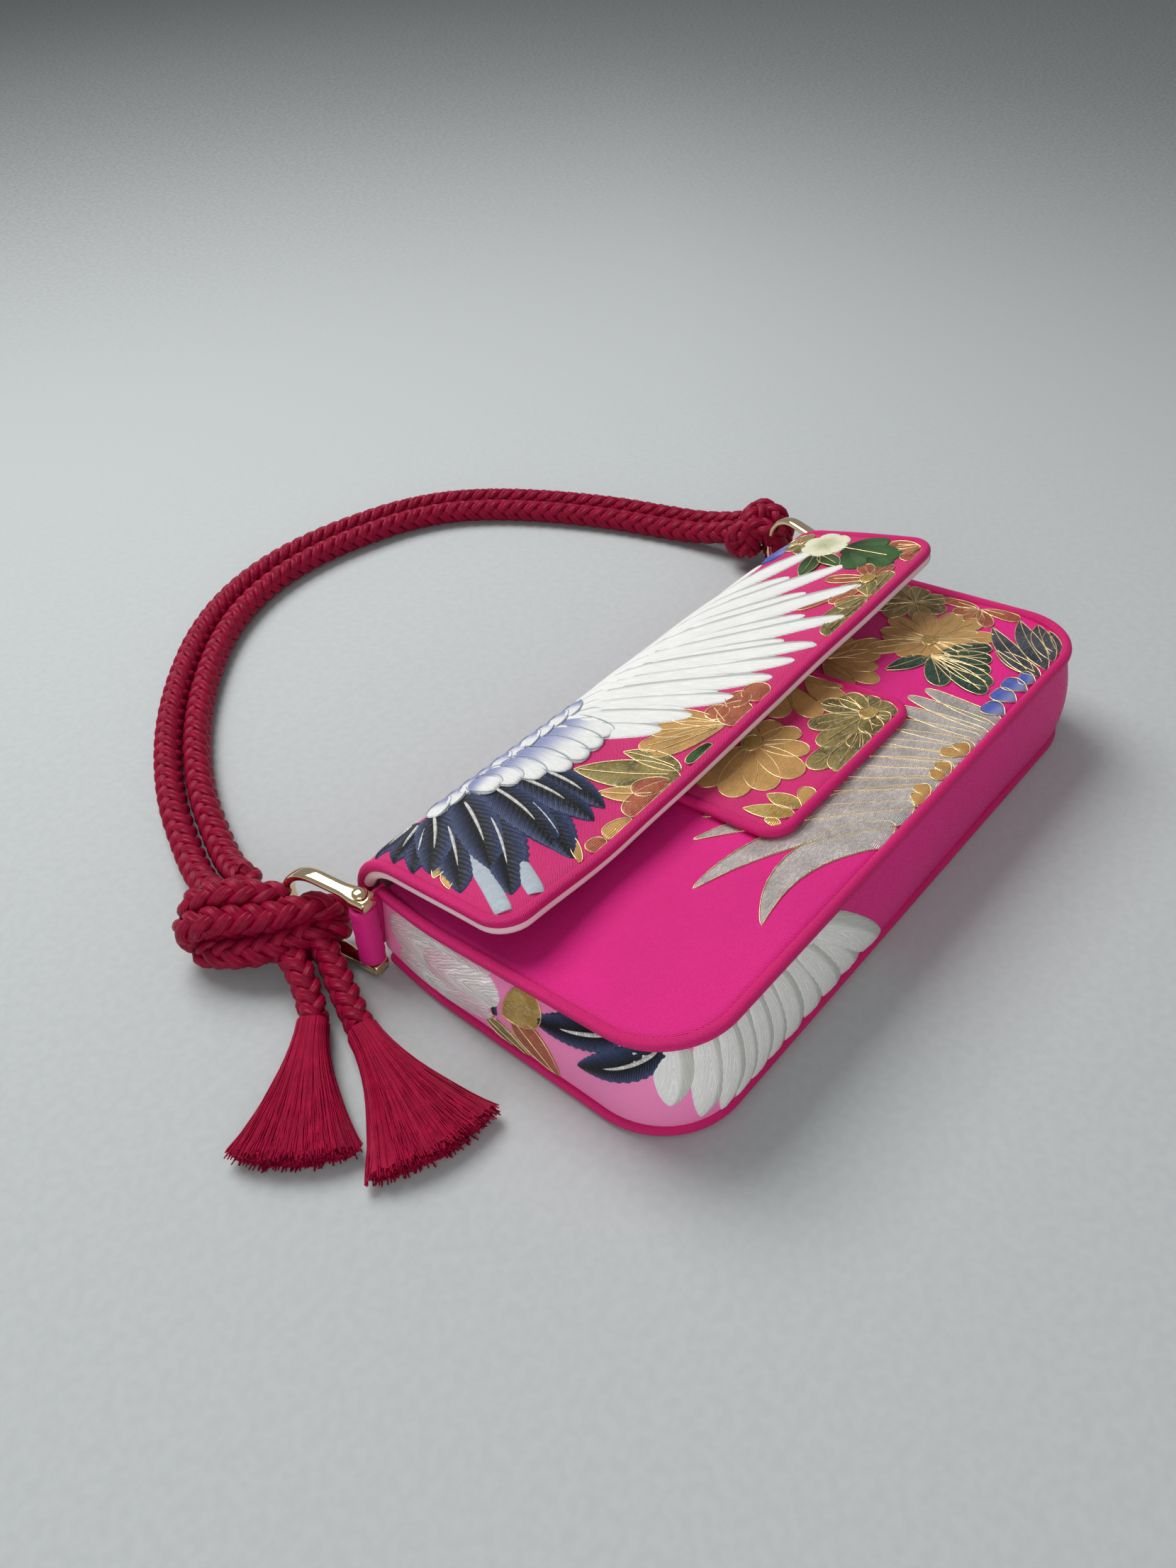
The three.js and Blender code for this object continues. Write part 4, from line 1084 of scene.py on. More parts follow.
class BAG_OT_knots(BagStep, bpy.types.Operator):
    """Winds the knot on the left ring and the hitch on the right one"""

    bl_idname = "bag.knots"
    bl_label = "Knot and hitch"

    def execute(self, context):
        for node, turns, centre, heading in (
            ("left_knot", KNOT_TURNS, KNOT_CENTRE, KNOT_HEADING),
            ("right_hitch", HITCH_TURNS, HITCH_CENTRE, HITCH_HEADING),
        ):
            for number, (name, points) in enumerate(turns.items()):
                turn = braid(name, knot_path(points, centre, heading))
                sew(turn, "strap", *([node] if number == 0 else []))
        return {"FINISHED"}


class BAG_OT_tails(BagStep, bpy.types.Operator):
    """Braids the two loose ends under the knot"""

    bl_idname = "bag.tails"
    bl_label = "Tails"

    def execute(self, context):
        diameter = context.scene.bag_ropes.tail_diameter
        for side, route in TAIL_ROUTES.items():
            tail = braid(f"tail_{side}_braid", smooth_path(route, 1.0), diameter, TAIL_PITCH)
            x = route[0][0] * MM
            sew(tail, ("strap", "tassels", (x, 0.076, 0.012), (x, 0.062, 0.009)), f"{side}_tail")
        return {"FINISHED"}


class BAG_OT_tassels(BagStep, bpy.types.Operator):
    """Hangs a silk tassel on each loose end"""

    bl_idname = "bag.tassels"
    bl_label = "Tassels"

    def execute(self, context):
        sizes = context.scene.bag_ropes
        for number, (side, shape) in enumerate(TASSELS.items()):
            sew(tassel_body(f"tassel_{side}_body", shape), "tassels", f"{side}_tassel")
            values = {
                "Length": shape["length"] * MM, "Heading": math.radians(shape["heading"]),
                "Spread": math.radians(shape["spread"]), "Neck X": shape["neck"][0] * MM,
                "Neck Y": shape["neck"][1] * MM, "Neck Height": NECK_HEIGHT * MM,
                "End Height": END_HEIGHT * MM, "Thread Radius": sizes.thread_radius,
                "Threads": sizes.threads, "Seed": 3 + number,
            }
            straight = [([(0, 0, 0), (1000, 0, 0)], False)]
            sew(grow(f"tassel_{side}_threads", straight, "Tassel threads", "bag_tassel", values), "tassels")
        return {"FINISHED"}


class BAG_OT_ropes(BagStep, bpy.types.Operator):
    """Braids the two ropes of the strap from the hitch to the knot"""

    bl_idname = "bag.ropes"
    bl_label = "Strap ropes"

    def execute(self, context):
        for name, side in ROPE_ENDS.items():
            path = rope_route(side)
            rope = braid(f"rope_{name}", path)
            sew(rope, "strap", f"strap_rope_{name}")
        return {"FINISHED"}


# Cloth of the body

SKIN_INSET, LINING_INSET = 1.3, 5.9
FINE_EDGE = (0.0, 0.06, 0.22, 0.5, 1.1, 1.9, 3.0, 4.6)
HEM_Y, HEM_RADIUS, HEM_CLOTH, HEM_END_Y = 60.2, 1.8, 0.6, 55.0
TURN_END = FOLD_RADIUS * math.radians(90 + 20)


def ply(name, face, a, b, depths, sink, run, material):
    """One ply of a panel between two depths. Only the outer satin sinks beside its seams."""
    a, b, run = np.broadcast_arrays(a, b, run)
    sink = sink if depths[0] == 0 else 0
    outer, inner = face(a, b, depths[0] + sink), face(a, b, depths[1] + sink * 0.6)
    return shell(name, outer, inner, np.stack([a, run], -1), material)


def corner_distance(x, y, half, low, radius):
    """Distance to the edge of a sheet whose two lower corners are round."""
    across = np.maximum(np.abs(x) - (half - radius), 0)
    down = np.maximum(low + radius - y, 0)
    return radius - np.hypot(across, down)


def sheet_grid(y, half, low, radius, columns=104):
    """X for a grid of rows, each twice half wide, with round lower corners."""
    base = spaced(-1.0, 1.0, 2.0 / columns, [f / HALF_LENGTH for f in FINE_EDGE])
    down = np.maximum(low + radius - y, 0.0)
    widths = half - radius + np.sqrt(np.maximum(radius * radius - down * down, 0.0))
    return np.outer(widths, base)


def corner_rows(low, radius, count=14):
    """Rows that follow a round corner evenly, from the lowest one up to where it ends."""
    angle = np.linspace(math.pi / 2, 0, count)
    return low + radius - radius * np.sin(angle)


def front_outline(y, inset):
    """Half the width at a height, the lowest y and the corner radius of the front panel."""
    return HALF_LENGTH - inset - mouth_tuck(y), -HALF_HEIGHT + inset, CORNER_RADIUS - inset


def hem(flat, radius):
    """Heights and depths up the front, over its rounded hem and down behind it."""
    turn = np.linspace(0, math.pi, 9)[1:]
    y = np.concatenate([flat, HEM_Y + radius * np.sin(turn), np.linspace(HEM_Y - 1.3, HEM_END_Y, 4)])
    front, back = np.full(len(flat), HEM_RADIUS - radius), np.full(4, HEM_RADIUS + radius)
    return y, np.concatenate([front, HEM_RADIUS - radius * np.cos(turn), back])


def front_skin():
    _, low, radius = front_outline(0.0, SKIN_INSET)
    flat = np.concatenate([corner_rows(low, radius), np.arange(low + radius + 2.4, HEM_Y, 2.4), [HEM_Y]])
    y, depth = hem(flat, HEM_RADIUS)
    inner_y, inner_depth = hem(flat, HEM_RADIUS - HEM_CLOTH)
    half = front_outline(y, SKIN_INSET)[0]
    x = sheet_grid(y, half, low, radius)
    sink = dip(corner_distance(x, y[:, None], half[:, None], low, radius))
    outer = front_face(x, y[:, None], depth[:, None] + sink)
    inner = front_face(x, inner_y[:, None], inner_depth[:, None] + sink)
    run = run_lengths(np.stack([y, depth], 1)) + low
    cloth = np.stack([x, np.broadcast_to(run[:, None], x.shape)], -1)
    return shell("front_satin", outer, inner, cloth, "bag_satin")


def front_lining():
    _, low, radius = front_outline(0.0, LINING_INSET)
    rows = np.arange(low + radius + 4, HEM_END_Y - 1, 4)
    y = np.concatenate([corner_rows(low, radius, 8), rows, [HEM_END_Y - 0.4]])
    x = sheet_grid(y, front_outline(y, LINING_INSET)[0], low, radius, 50)
    y = y[:, None]
    return ply("front_inside", front_face, x, y, (LINING_TOP, STACK), 0, y, "bag_lining")


class BAG_OT_front(BagStep, bpy.types.Operator):
    """Covers and lines the front panel"""

    bl_idname = "bag.front"
    bl_label = "Front panel"

    def execute(self, context):
        sew(front_skin(), "bag", "front_panel")
        sew(front_lining(), "bag", "front_lining")
        return {"FINISHED"}


def gusset_top(u, inset):
    return front_height(seam(u, 0.5)[1]) - inset


def seam_dip(z, low, top):
    return dip(z - low, 0.7, 1.1) + dip(top - z, 0.7, 1.1)


def gusset_sheet(name, depths, low, high, start, step, material):
    """A ply of the gusset, from low above the back to high below the front's edge."""
    u = spaced(start, SEAM_RUN - start, step)[:, None]
    top = gusset_top(u, high)
    z = low + (top - low) * spaced(0.0, 1.0, 1 / 14, (0.0, 0.02, 0.05, 0.1))
    return ply(name, gusset_face, u, z, depths, seam_dip(z, low, top), z, material)


class BAG_OT_gusset(BagStep, bpy.types.Operator):
    """Covers and lines the gusset round both ends and the bottom"""

    bl_idname = "bag.gusset"
    bl_label = "Gusset"

    def execute(self, context):
        skin = gusset_sheet("gusset_satin", (0.0, 1.0), 3.0, 1.2, 0.0, 2.6, "bag_gusset")
        inside = gusset_sheet("gusset_inside", (LINING_TOP, STACK), 6.2, 5.6, 0.3, 4.5, "bag_lining")
        sew(skin, "bag", "gusset")
        sew(inside, "bag", "gusset_lining")
        return {"FINISHED"}


def back_half(y, inset):
    """Half the width of the back, which narrows to the flap's where the turn starts."""
    wide = HALF_LENGTH + BACK_FLARE - inset - mouth_tuck(np.minimum(y, FOLD_Y))
    narrow = FLAP_HALF - inset + 0.1
    return wide + (narrow - wide) * smoothstep(y, 42, 53)


def back_sheet(name, depths, inset, step, material):
    low, radius = -HALF_HEIGHT - BACK_FLARE + inset, CORNER_RADIUS + BACK_FLARE - inset
    flat = np.concatenate([corner_rows(low, radius, 12), np.arange(low + radius + step, FOLD_Y, step)])
    s = np.concatenate([flat - FOLD_Y, np.arange(0.0, TURN_END, step * 0.7), [TURN_END]])
    x = sheet_grid(FOLD_Y + s, back_half(FOLD_Y + s, inset), low, radius, int(250 / step))
    s = s[:, None]
    y = FOLD_Y + s
    sink = dip(corner_distance(x, y, back_half(y, inset), low, radius))
    return ply(name, fold_face, x, s, depths, sink, y, material)


class BAG_OT_back(BagStep, bpy.types.Operator):
    """Covers and lines the back panel and the turn over the mouth as one cloth"""

    bl_idname = "bag.back"
    bl_label = "Back panel and turn"

    def execute(self, context):
        skin = back_sheet("back_satin", (0.0, CLOTH), SKIN_INSET, 2.8, "bag_satin")
        inside = back_sheet("back_inside", (LINING_TOP, STACK), LINING_INSET, 4.2, "bag_lining")
        sew(skin, TURN_BEND, "back_panel", "flap_turn")
        sew(inside, TURN_BEND, "back_lining", "flap_turn_lining")
        return {"FINISHED"}


def flap_outline(inset):
    return FLAP_HALF - inset, FLAP_EDGE_Y + inset, FLAP_CORNER - inset


def tab_outline(inset):
    return TAB_HALF - inset, TAB_FRONT_Y + inset, TAB_CORNER - inset


def lower_edge(x, half, low, radius):
    """Y of the front edge of the flap or the tab at each x, round at both corners."""
    over = np.clip(np.abs(x) - (half - radius), 0, radius)
    return low + radius - np.sqrt(radius * radius - over * over)


def flap_sheet(name, depths, inset, columns, rows, material):
    half, low, radius = flap_outline(inset)
    x = spaced(-half, half, 2 * half / columns, FINE_EDGE)[None, :]
    share = spaced(0.0, 1.0, 1.0 / rows, (0.0, 0.008, 0.018, 0.03, 0.05))[:, None]
    end = flap_run(x, lower_edge(x, half, low, radius))
    s = TURN_END + share * (end - TURN_END)
    near = np.where(s > flap_run(x, FOLD_Y), fold_face(x, s)[..., 1], FOLD_Y)
    sink = dip(corner_distance(x, near, half, low, radius))
    return ply(name, fold_face, x, s, depths, sink, s, material)


class BAG_OT_flap(BagStep, bpy.types.Operator):
    """Covers and lines the flap"""

    bl_idname = "bag.flap"
    bl_label = "Flap"

    def execute(self, context):
        skin = flap_sheet("flap_satin", (0.0, CLOTH), 1.2, 92, 46, "bag_flap_satin")
        inside = flap_sheet("flap_inside", (LINING_TOP, STACK), 3.2, 60, 26, "bag_lining")
        sew(skin, CREASE_BEND, "flap")
        sew(inside, CREASE_BEND, "flap_lining")
        return {"FINISHED"}


def tab_sheet(name, depths, inset, columns, rows, material):
    half, low, radius = tab_outline(inset)
    x = spaced(-half, half, 2 * half / columns, FINE_EDGE[:-1])[None, :]
    start = lower_edge(x, half, low, radius)
    share = spaced(0.0, 1.0, 1.0 / rows, (0.0, 0.01, 0.02, 0.04))[:, None]
    y = start + share * (TAB_SEAM_Y - start)
    sink = dip(corner_distance(x, y, half, low, radius), 0.6)
    return ply(name, tab_face, x, y, depths, sink, y, material)


class BAG_OT_tab(BagStep, bpy.types.Operator):
    """Covers and lines the tab"""

    bl_idname = "bag.tab"
    bl_label = "Tab"

    def execute(self, context):
        skin = tab_sheet("tab_satin", (0.0, CLOTH), 1.1, 46, 34, "bag_flap_satin")
        inside = tab_sheet("tab_inside", (LINING_TOP, STACK), 2.6, 26, 18, "bag_lining")
        sew(skin, TAB_BEND, "tab")
        sew(inside, TAB_BEND, "tab_lining")
        return {"FINISHED"}


# Piping and the lining's edge

PIPING_DEPTH, TAB_PIPING_DEPTH = 1.8, 1.6
LINING_EDGE_DEPTH, LINING_EDGE_RADIUS = 4.5, 2.0
BACK_PIPING_START, BACK_PIPING_Z = HALF_HEIGHT - 56.6, 2.0
BOUND_TOP = FOLD_Y - 6


def corner_arc(x, y, radius, start, end, count=9):
    angle = np.radians(np.linspace(start, end, count))
    return np.stack([x + radius * np.cos(angle), y + radius * np.sin(angle)], 1)


def bound_edge(half, low, radius, top, step=3.0):
    """X and y down the left side, along the front and up the right side of a flap or tab."""
    sides = half - radius
    left = [(-half, y) for y in np.arange(top, low + radius + step / 2, -step)]
    front = [(x, low) for x in np.arange(-sides + step, sides - step / 2, step)]
    right = [(half, y) for y in np.arange(low + radius + step, top, step)] + [(half, top)]
    return np.concatenate([
        left, corner_arc(-sides, low + radius, radius, 180, 270), front,
        corner_arc(sides, low + radius, radius, 270, 360), right,
    ])


def flap_bound_points(depth, inset=0.0):
    """Points along the flap's bound edge, from the turn at the left round to the turn at the right."""
    half, low, radius = flap_outline(inset)
    flat = bound_edge(half, low, radius, BOUND_TOP)
    turns = {}
    for side in SIDES:
        end = float(flap_run(side * half, BOUND_TOP))
        turns[side] = fold_face(np.full(14, side * half), np.linspace(TURN_END, end - 3.0, 14), depth)
    return np.concatenate([turns[-1], flap_face(flat[:, 0], flat[:, 1], depth), turns[1][::-1]])


def piping(name, points):
    return cord_of_cloth(name, points, bpy.context.scene.bag_cloth.piping_radius / MM, "bag_piping")


class BAG_OT_piping(BagStep, bpy.types.Operator):
    """Sews the piping into the seams and along the edges of the flap and the tab"""

    bl_idname = "bag.piping"
    bl_label = "Piping"

    def execute(self, context):
        x, y = seam(np.linspace(0, SEAM_RUN, 200), 1)
        sew(piping("front_seam_piping", np.stack([x, y, front_height(y)], 1)), "bag", "front_piping")
        x, y = seam(np.linspace(BACK_PIPING_START, SEAM_RUN - BACK_PIPING_START, 200), 0)
        back = np.stack([x, y, np.full_like(x, BACK_PIPING_Z)], 1)
        sew(piping("back_seam_piping", back), "bag", "back_piping")
        for side, name in SIDES.items():
            s = np.linspace(FOLD_RADIUS * math.radians(35), TURN_END, 18)
            line = fold_face(np.full(18, side * FLAP_HALF), s, PIPING_DEPTH)
            sew(piping(f"turn_piping_{name}", line), TURN_BEND, f"flap_turn_piping_{name}")
        sew(piping("flap_edge_piping", flap_bound_points(PIPING_DEPTH)), CREASE_BEND, "flap_piping")
        edge = flap_bound_points(LINING_EDGE_DEPTH, 0.3)
        sew(cord_of_cloth("flap_lining_edge", edge, LINING_EDGE_RADIUS, "bag_lining"), CREASE_BEND)
        line = bound_edge(*tab_outline(0.0), TAB_SEAM_Y, 2.0)
        line = tab_face(line[:, 0], line[:, 1], TAB_PIPING_DEPTH)
        sew(piping("tab_edge_piping", line), TAB_BEND, "tab_piping")
        return {"FINISHED"}


# Rings, pins and loops

EYE_END, EYE_LENGTH = -4.0, 8.0
EYE_ARM, BOW_RADIUS, BOW_MIDDLE = 15.2, 16.0, 17.5
EYE_WIDTH, EYE_THICKNESS, BAND_WIDTH, BAND_THICKNESS = 7.0, 4.6, 5.4, 3.0
PIN_RADIUS, PIN_HEAD_RADIUS, PIN_HEAD_HEIGHT, PIN_LOW, PIN_HIGH = 2.0, 2.7, 1.28, 0.3, 35.3
LOOP_RADIUS, LOOP_BORE, LOOP_LOW, LOOP_HIGH = 4.4, 2.35, 4.9, 30.1
LOOP_TAB_INNER, LOOP_TAB_OUTER, LOOP_TAB_LOW_Y, LOOP_TAB_HIGH_Y = 123.8, 130.3, 61.3, 63.7


def ring_mesh(name, side):
    """A flat band bent to a long bow, wider round the pin at both ends."""
    arm = np.concatenate([np.linspace(EYE_END, EYE_END + 1.2, 5), np.linspace(EYE_END + 2, BOW_MIDDLE, 22)])
    stations = [(y, -1, None) for y in arm[:-1]]
    stations += [(None, 0, a) for a in np.linspace(-90, 90, 41)]
    stations += [(y, 1, None) for y in arm[:-1][::-1]]
    angle = full_turn(28)
    turn = math.radians(-RING_TURNS[side])
    c, s = math.cos(turn), math.sin(turn)
    rings = []
    for y, arm_side, bow in stations:
        if arm_side:
            ease = float(smoothstep(y, EYE_END + EYE_LENGTH * 0.7, EYE_END + EYE_LENGTH * 1.5))
            tip = math.sqrt(max(0.0, 1 - max(0.0, 1 - (y - EYE_END) / 1.2) ** 2)) * 0.28 + 0.72
            middle, out = (y, arm_side * (EYE_ARM + (BOW_RADIUS - EYE_ARM) * ease)), (0.0, arm_side)
        else:
            ease, tip = 1.0, 1.0
            out = (math.cos(math.radians(bow)), math.sin(math.radians(bow)))
            middle = (BOW_MIDDLE + out[0] * BOW_RADIUS, out[1] * BOW_RADIUS)
        width = EYE_WIDTH + (BAND_WIDTH - EYE_WIDTH) * ease
        thickness = (EYE_THICKNESS + (BAND_THICKNESS - EYE_THICKNESS) * ease) * (1 - (1 - tip) * 0.6)
        power = 0.5 + 0.24 * ease
        x = blunt(np.cos(angle), power) * width / 2 * tip
        b = blunt(np.sin(angle), power) * thickness / 2
        y = middle[0] + b * out[0]
        z = middle[1] + b * out[1] + RING_MIDDLE
        rings.append(np.stack([x * c - y * s + side * PIN_X, x * s + y * c + PIN_Y, z], 1))
    return tube(name, rings, "bag_gold", None, 42.0)


def pin_ring(side, radius, z, angle):
    """Points round a ring's pin at one height."""
    x, y = side * PIN_X + radius * np.cos(angle), PIN_Y + radius * np.sin(angle)
    return np.stack([x, y, np.full(len(angle), z)], 1)


def lathe(name, profile, side, material, around=28):
    """A turned piece on a ring's pin, from pairs of radius and height."""
    angle = full_turn(around)
    first, last = ([[side * PIN_X, PIN_Y, profile[end][1]]] for end in (0, -1))
    points = np.concatenate([first, *(pin_ring(side, r, z, angle) for r, z in profile[1:-1]), last])
    faces = grid_faces(len(profile) - 2, around, 1, closed=True)
    faces += [(0, 1 + (i + 1) % around, 1 + i) for i in range(around)]
    top = len(points) - 1
    faces += [(top, top - around + i, top - around + (i + 1) % around) for i in range(around)]
    return mesh_piece(name, points, faces, material, None, 38.0)


def pin_profile():
    """Radius and height up a pin with a low domed head."""
    rise, wide = PIN_HIGH + 0.25, PIN_HEAD_RADIUS
    turns = np.radians((0, 18, 36, 54, 70, 82))
    dome = [(wide * math.cos(turn), rise + PIN_HEAD_HEIGHT * math.sin(turn)) for turn in turns]
    return [
        (0, PIN_LOW), (PIN_RADIUS - 0.3, PIN_LOW), (PIN_RADIUS, PIN_LOW + 0.3), (PIN_RADIUS, PIN_HIGH - 0.02),
        (wide - 0.15, PIN_HIGH), (wide, PIN_HIGH + 0.12), *dome, (0, rise + PIN_HEAD_HEIGHT),
    ]


class BAG_OT_rings(BagStep, bpy.types.Operator):
    """Makes the two rings and their pins"""

    bl_idname = "bag.rings"
    bl_label = "Rings and pins"

    def execute(self, context):
        for side, name in SIDES.items():
            sew(ring_mesh(f"ring_{name}_band", side), "strap", f"{name}_ring")
            sew(lathe(f"ring_{name}_pin", pin_profile(), side, "bag_gold"), "strap", f"{name}_pin")
        return {"FINISHED"}


def loop_around_pin(name, side):
    """A sleeve of doubled cloth round the pin, with soft upper and lower edges."""
    angle = full_turn(40)
    wall = (LOOP_RADIUS - LOOP_BORE) / 2
    rim = [
        (LOOP_RADIUS - wall + wall * math.cos(turn), LOOP_LOW + 0.8 + 0.8 * math.sin(turn))
        for turn in np.linspace(-math.pi / 2, 0, 4)
    ]
    heights = np.linspace(LOOP_LOW + 1.8, LOOP_HIGH - 1.8, 12)
    outer = [(LOOP_RADIUS + 0.12 * math.sin(k * 1.9), z) for k, z in enumerate(heights)]
    top = [(r, LOOP_LOW + LOOP_HIGH - z) for r, z in rim[::-1]]
    rings, cloth = [], []
    for radius, z in rim + outer + top + [(LOOP_BORE, LOOP_HIGH - 0.8), (LOOP_BORE, LOOP_LOW + 0.8)]:
        lean = 1 + 0.03 * np.sin(3 * angle + z) if radius > LOOP_BORE + 0.2 else 1.0
        rings.append(pin_ring(side, radius * lean, z, angle))
        round_pin = np.minimum(angle, 2 * math.pi - angle) * LOOP_RADIUS
        cloth.append(np.stack([round_pin, np.full(len(angle), z)], 1))
    return tube(name, rings, "bag_satin", cloth, joined=True)


def loop_tab(name, side):
    """The sewn end of the loop, a soft flat band between the gusset and the pin."""
    angle = full_turn(24)
    middle_y, middle_z = (LOOP_TAB_LOW_Y + LOOP_TAB_HIGH_Y) / 2, (LOOP_LOW + LOOP_HIGH) / 2
    wide, tall = LOOP_TAB_HIGH_Y - LOOP_TAB_LOW_Y, blunt(np.sin(angle), 0.35) * (LOOP_HIGH - LOOP_LOW) / 2
    rings, cloth = [], []
    for k, x in enumerate(np.linspace(LOOP_TAB_INNER, LOOP_TAB_OUTER, 9)):
        thick = blunt(np.cos(angle), 0.8) * wide / 2 * (0.92 + 0.08 * math.cos(k * 1.3))
        rings.append(np.stack([np.full(24, side * x), middle_y + thick, middle_z + tall], 1))
        cloth.append(np.stack([np.full(24, x), middle_z + tall + thick], 1))
    return tube(name, rings, "bag_satin", cloth)


class BAG_OT_loops(BagStep, bpy.types.Operator):
    """Sews the cloth loops that hold the ring pins"""

    bl_idname = "bag.loops"
    bl_label = "Pin loops"

    def execute(self, context):
        for side, name in SIDES.items():
            sew(loop_around_pin(f"loop_{name}_sleeve", side), "strap", f"{name}_pin_loop")
            sew(loop_tab(f"loop_{name}_band", side), "bag", f"{name}_loop_tab")
        return {"FINISHED"}


class BAG_OT_inside(BagStep, bpy.types.Operator):
    """Gives the boards and the magnets their materials"""

    bl_idname = "bag.inside"
    bl_label = "Boards and magnets"

    def execute(self, context):
        panels = ("back", "gusset", "front", "flap_turn", "flap", "tab")
        kept = {f"{name}_stiffener": "bag_board" for name in panels}
        kept.update({f"{name}_magnet": "bag_magnet" for name in ("front", "tab")})
        for node, material in kept.items():
            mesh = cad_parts[node].data
            mesh.materials.clear()
            mesh.materials.append(finishes()[material])
        return {"FINISHED"}


# Embroidery: raised work that follows the cloth

ACROSS = np.array([-1.0, -0.95, -0.8, -0.55, -0.28, 0.0, 0.28, 0.55, 0.8, 0.95, 1.0])
ALONG = (1 - np.cos(np.linspace(0.06, math.pi - 0.06, 16))) / 2
RAGGED_ALONG = (1 - np.cos(np.linspace(0.05, math.pi - 0.05, 40))) / 2
SUNK_EDGE = -0.14

# How each shape widens from its base and narrows to its tip.
PROFILES = {
    "feather": (0.2, 0.45), "plume": (0.3, 0.85), "petal": (0.85, 0.42), "leaf": (0.7, 0.9),
    "round": (0.5, 0.5), "scale": (0.3, 0.3), "dart": (0.45, 0.75), "stem": (0.03, 0.03),
    "wing": (0.2, 0.42), "sickle": (0.16, 0.72),
}


def swell(t, profile):
    rise, fall = PROFILES[profile]
    peak = rise / (rise + fall)
    return (t / peak) ** rise * ((1 - t) / (1 - peak)) ** fall


def bent_line(base, tip, bend, t):
    """Places and headings along a line from base to tip that bend curves to its left."""
    base, tip, t = np.asarray(base, float), np.asarray(tip, float), t[:, None]
    span = tip - base
    middle = (base + tip) / 2 + np.array([-span[1], span[0]]) * bend
    line = (1 - t) ** 2 * base + 2 * t * (1 - t) * middle + t ** 2 * tip
    heading = 2 * (1 - t) * (middle - base) + 2 * t * (tip - middle)
    return line, heading / np.linalg.norm(heading, axis=1)[:, None]


def span_of(base, tip):
    return float(np.hypot(*np.subtract(tip, base)))


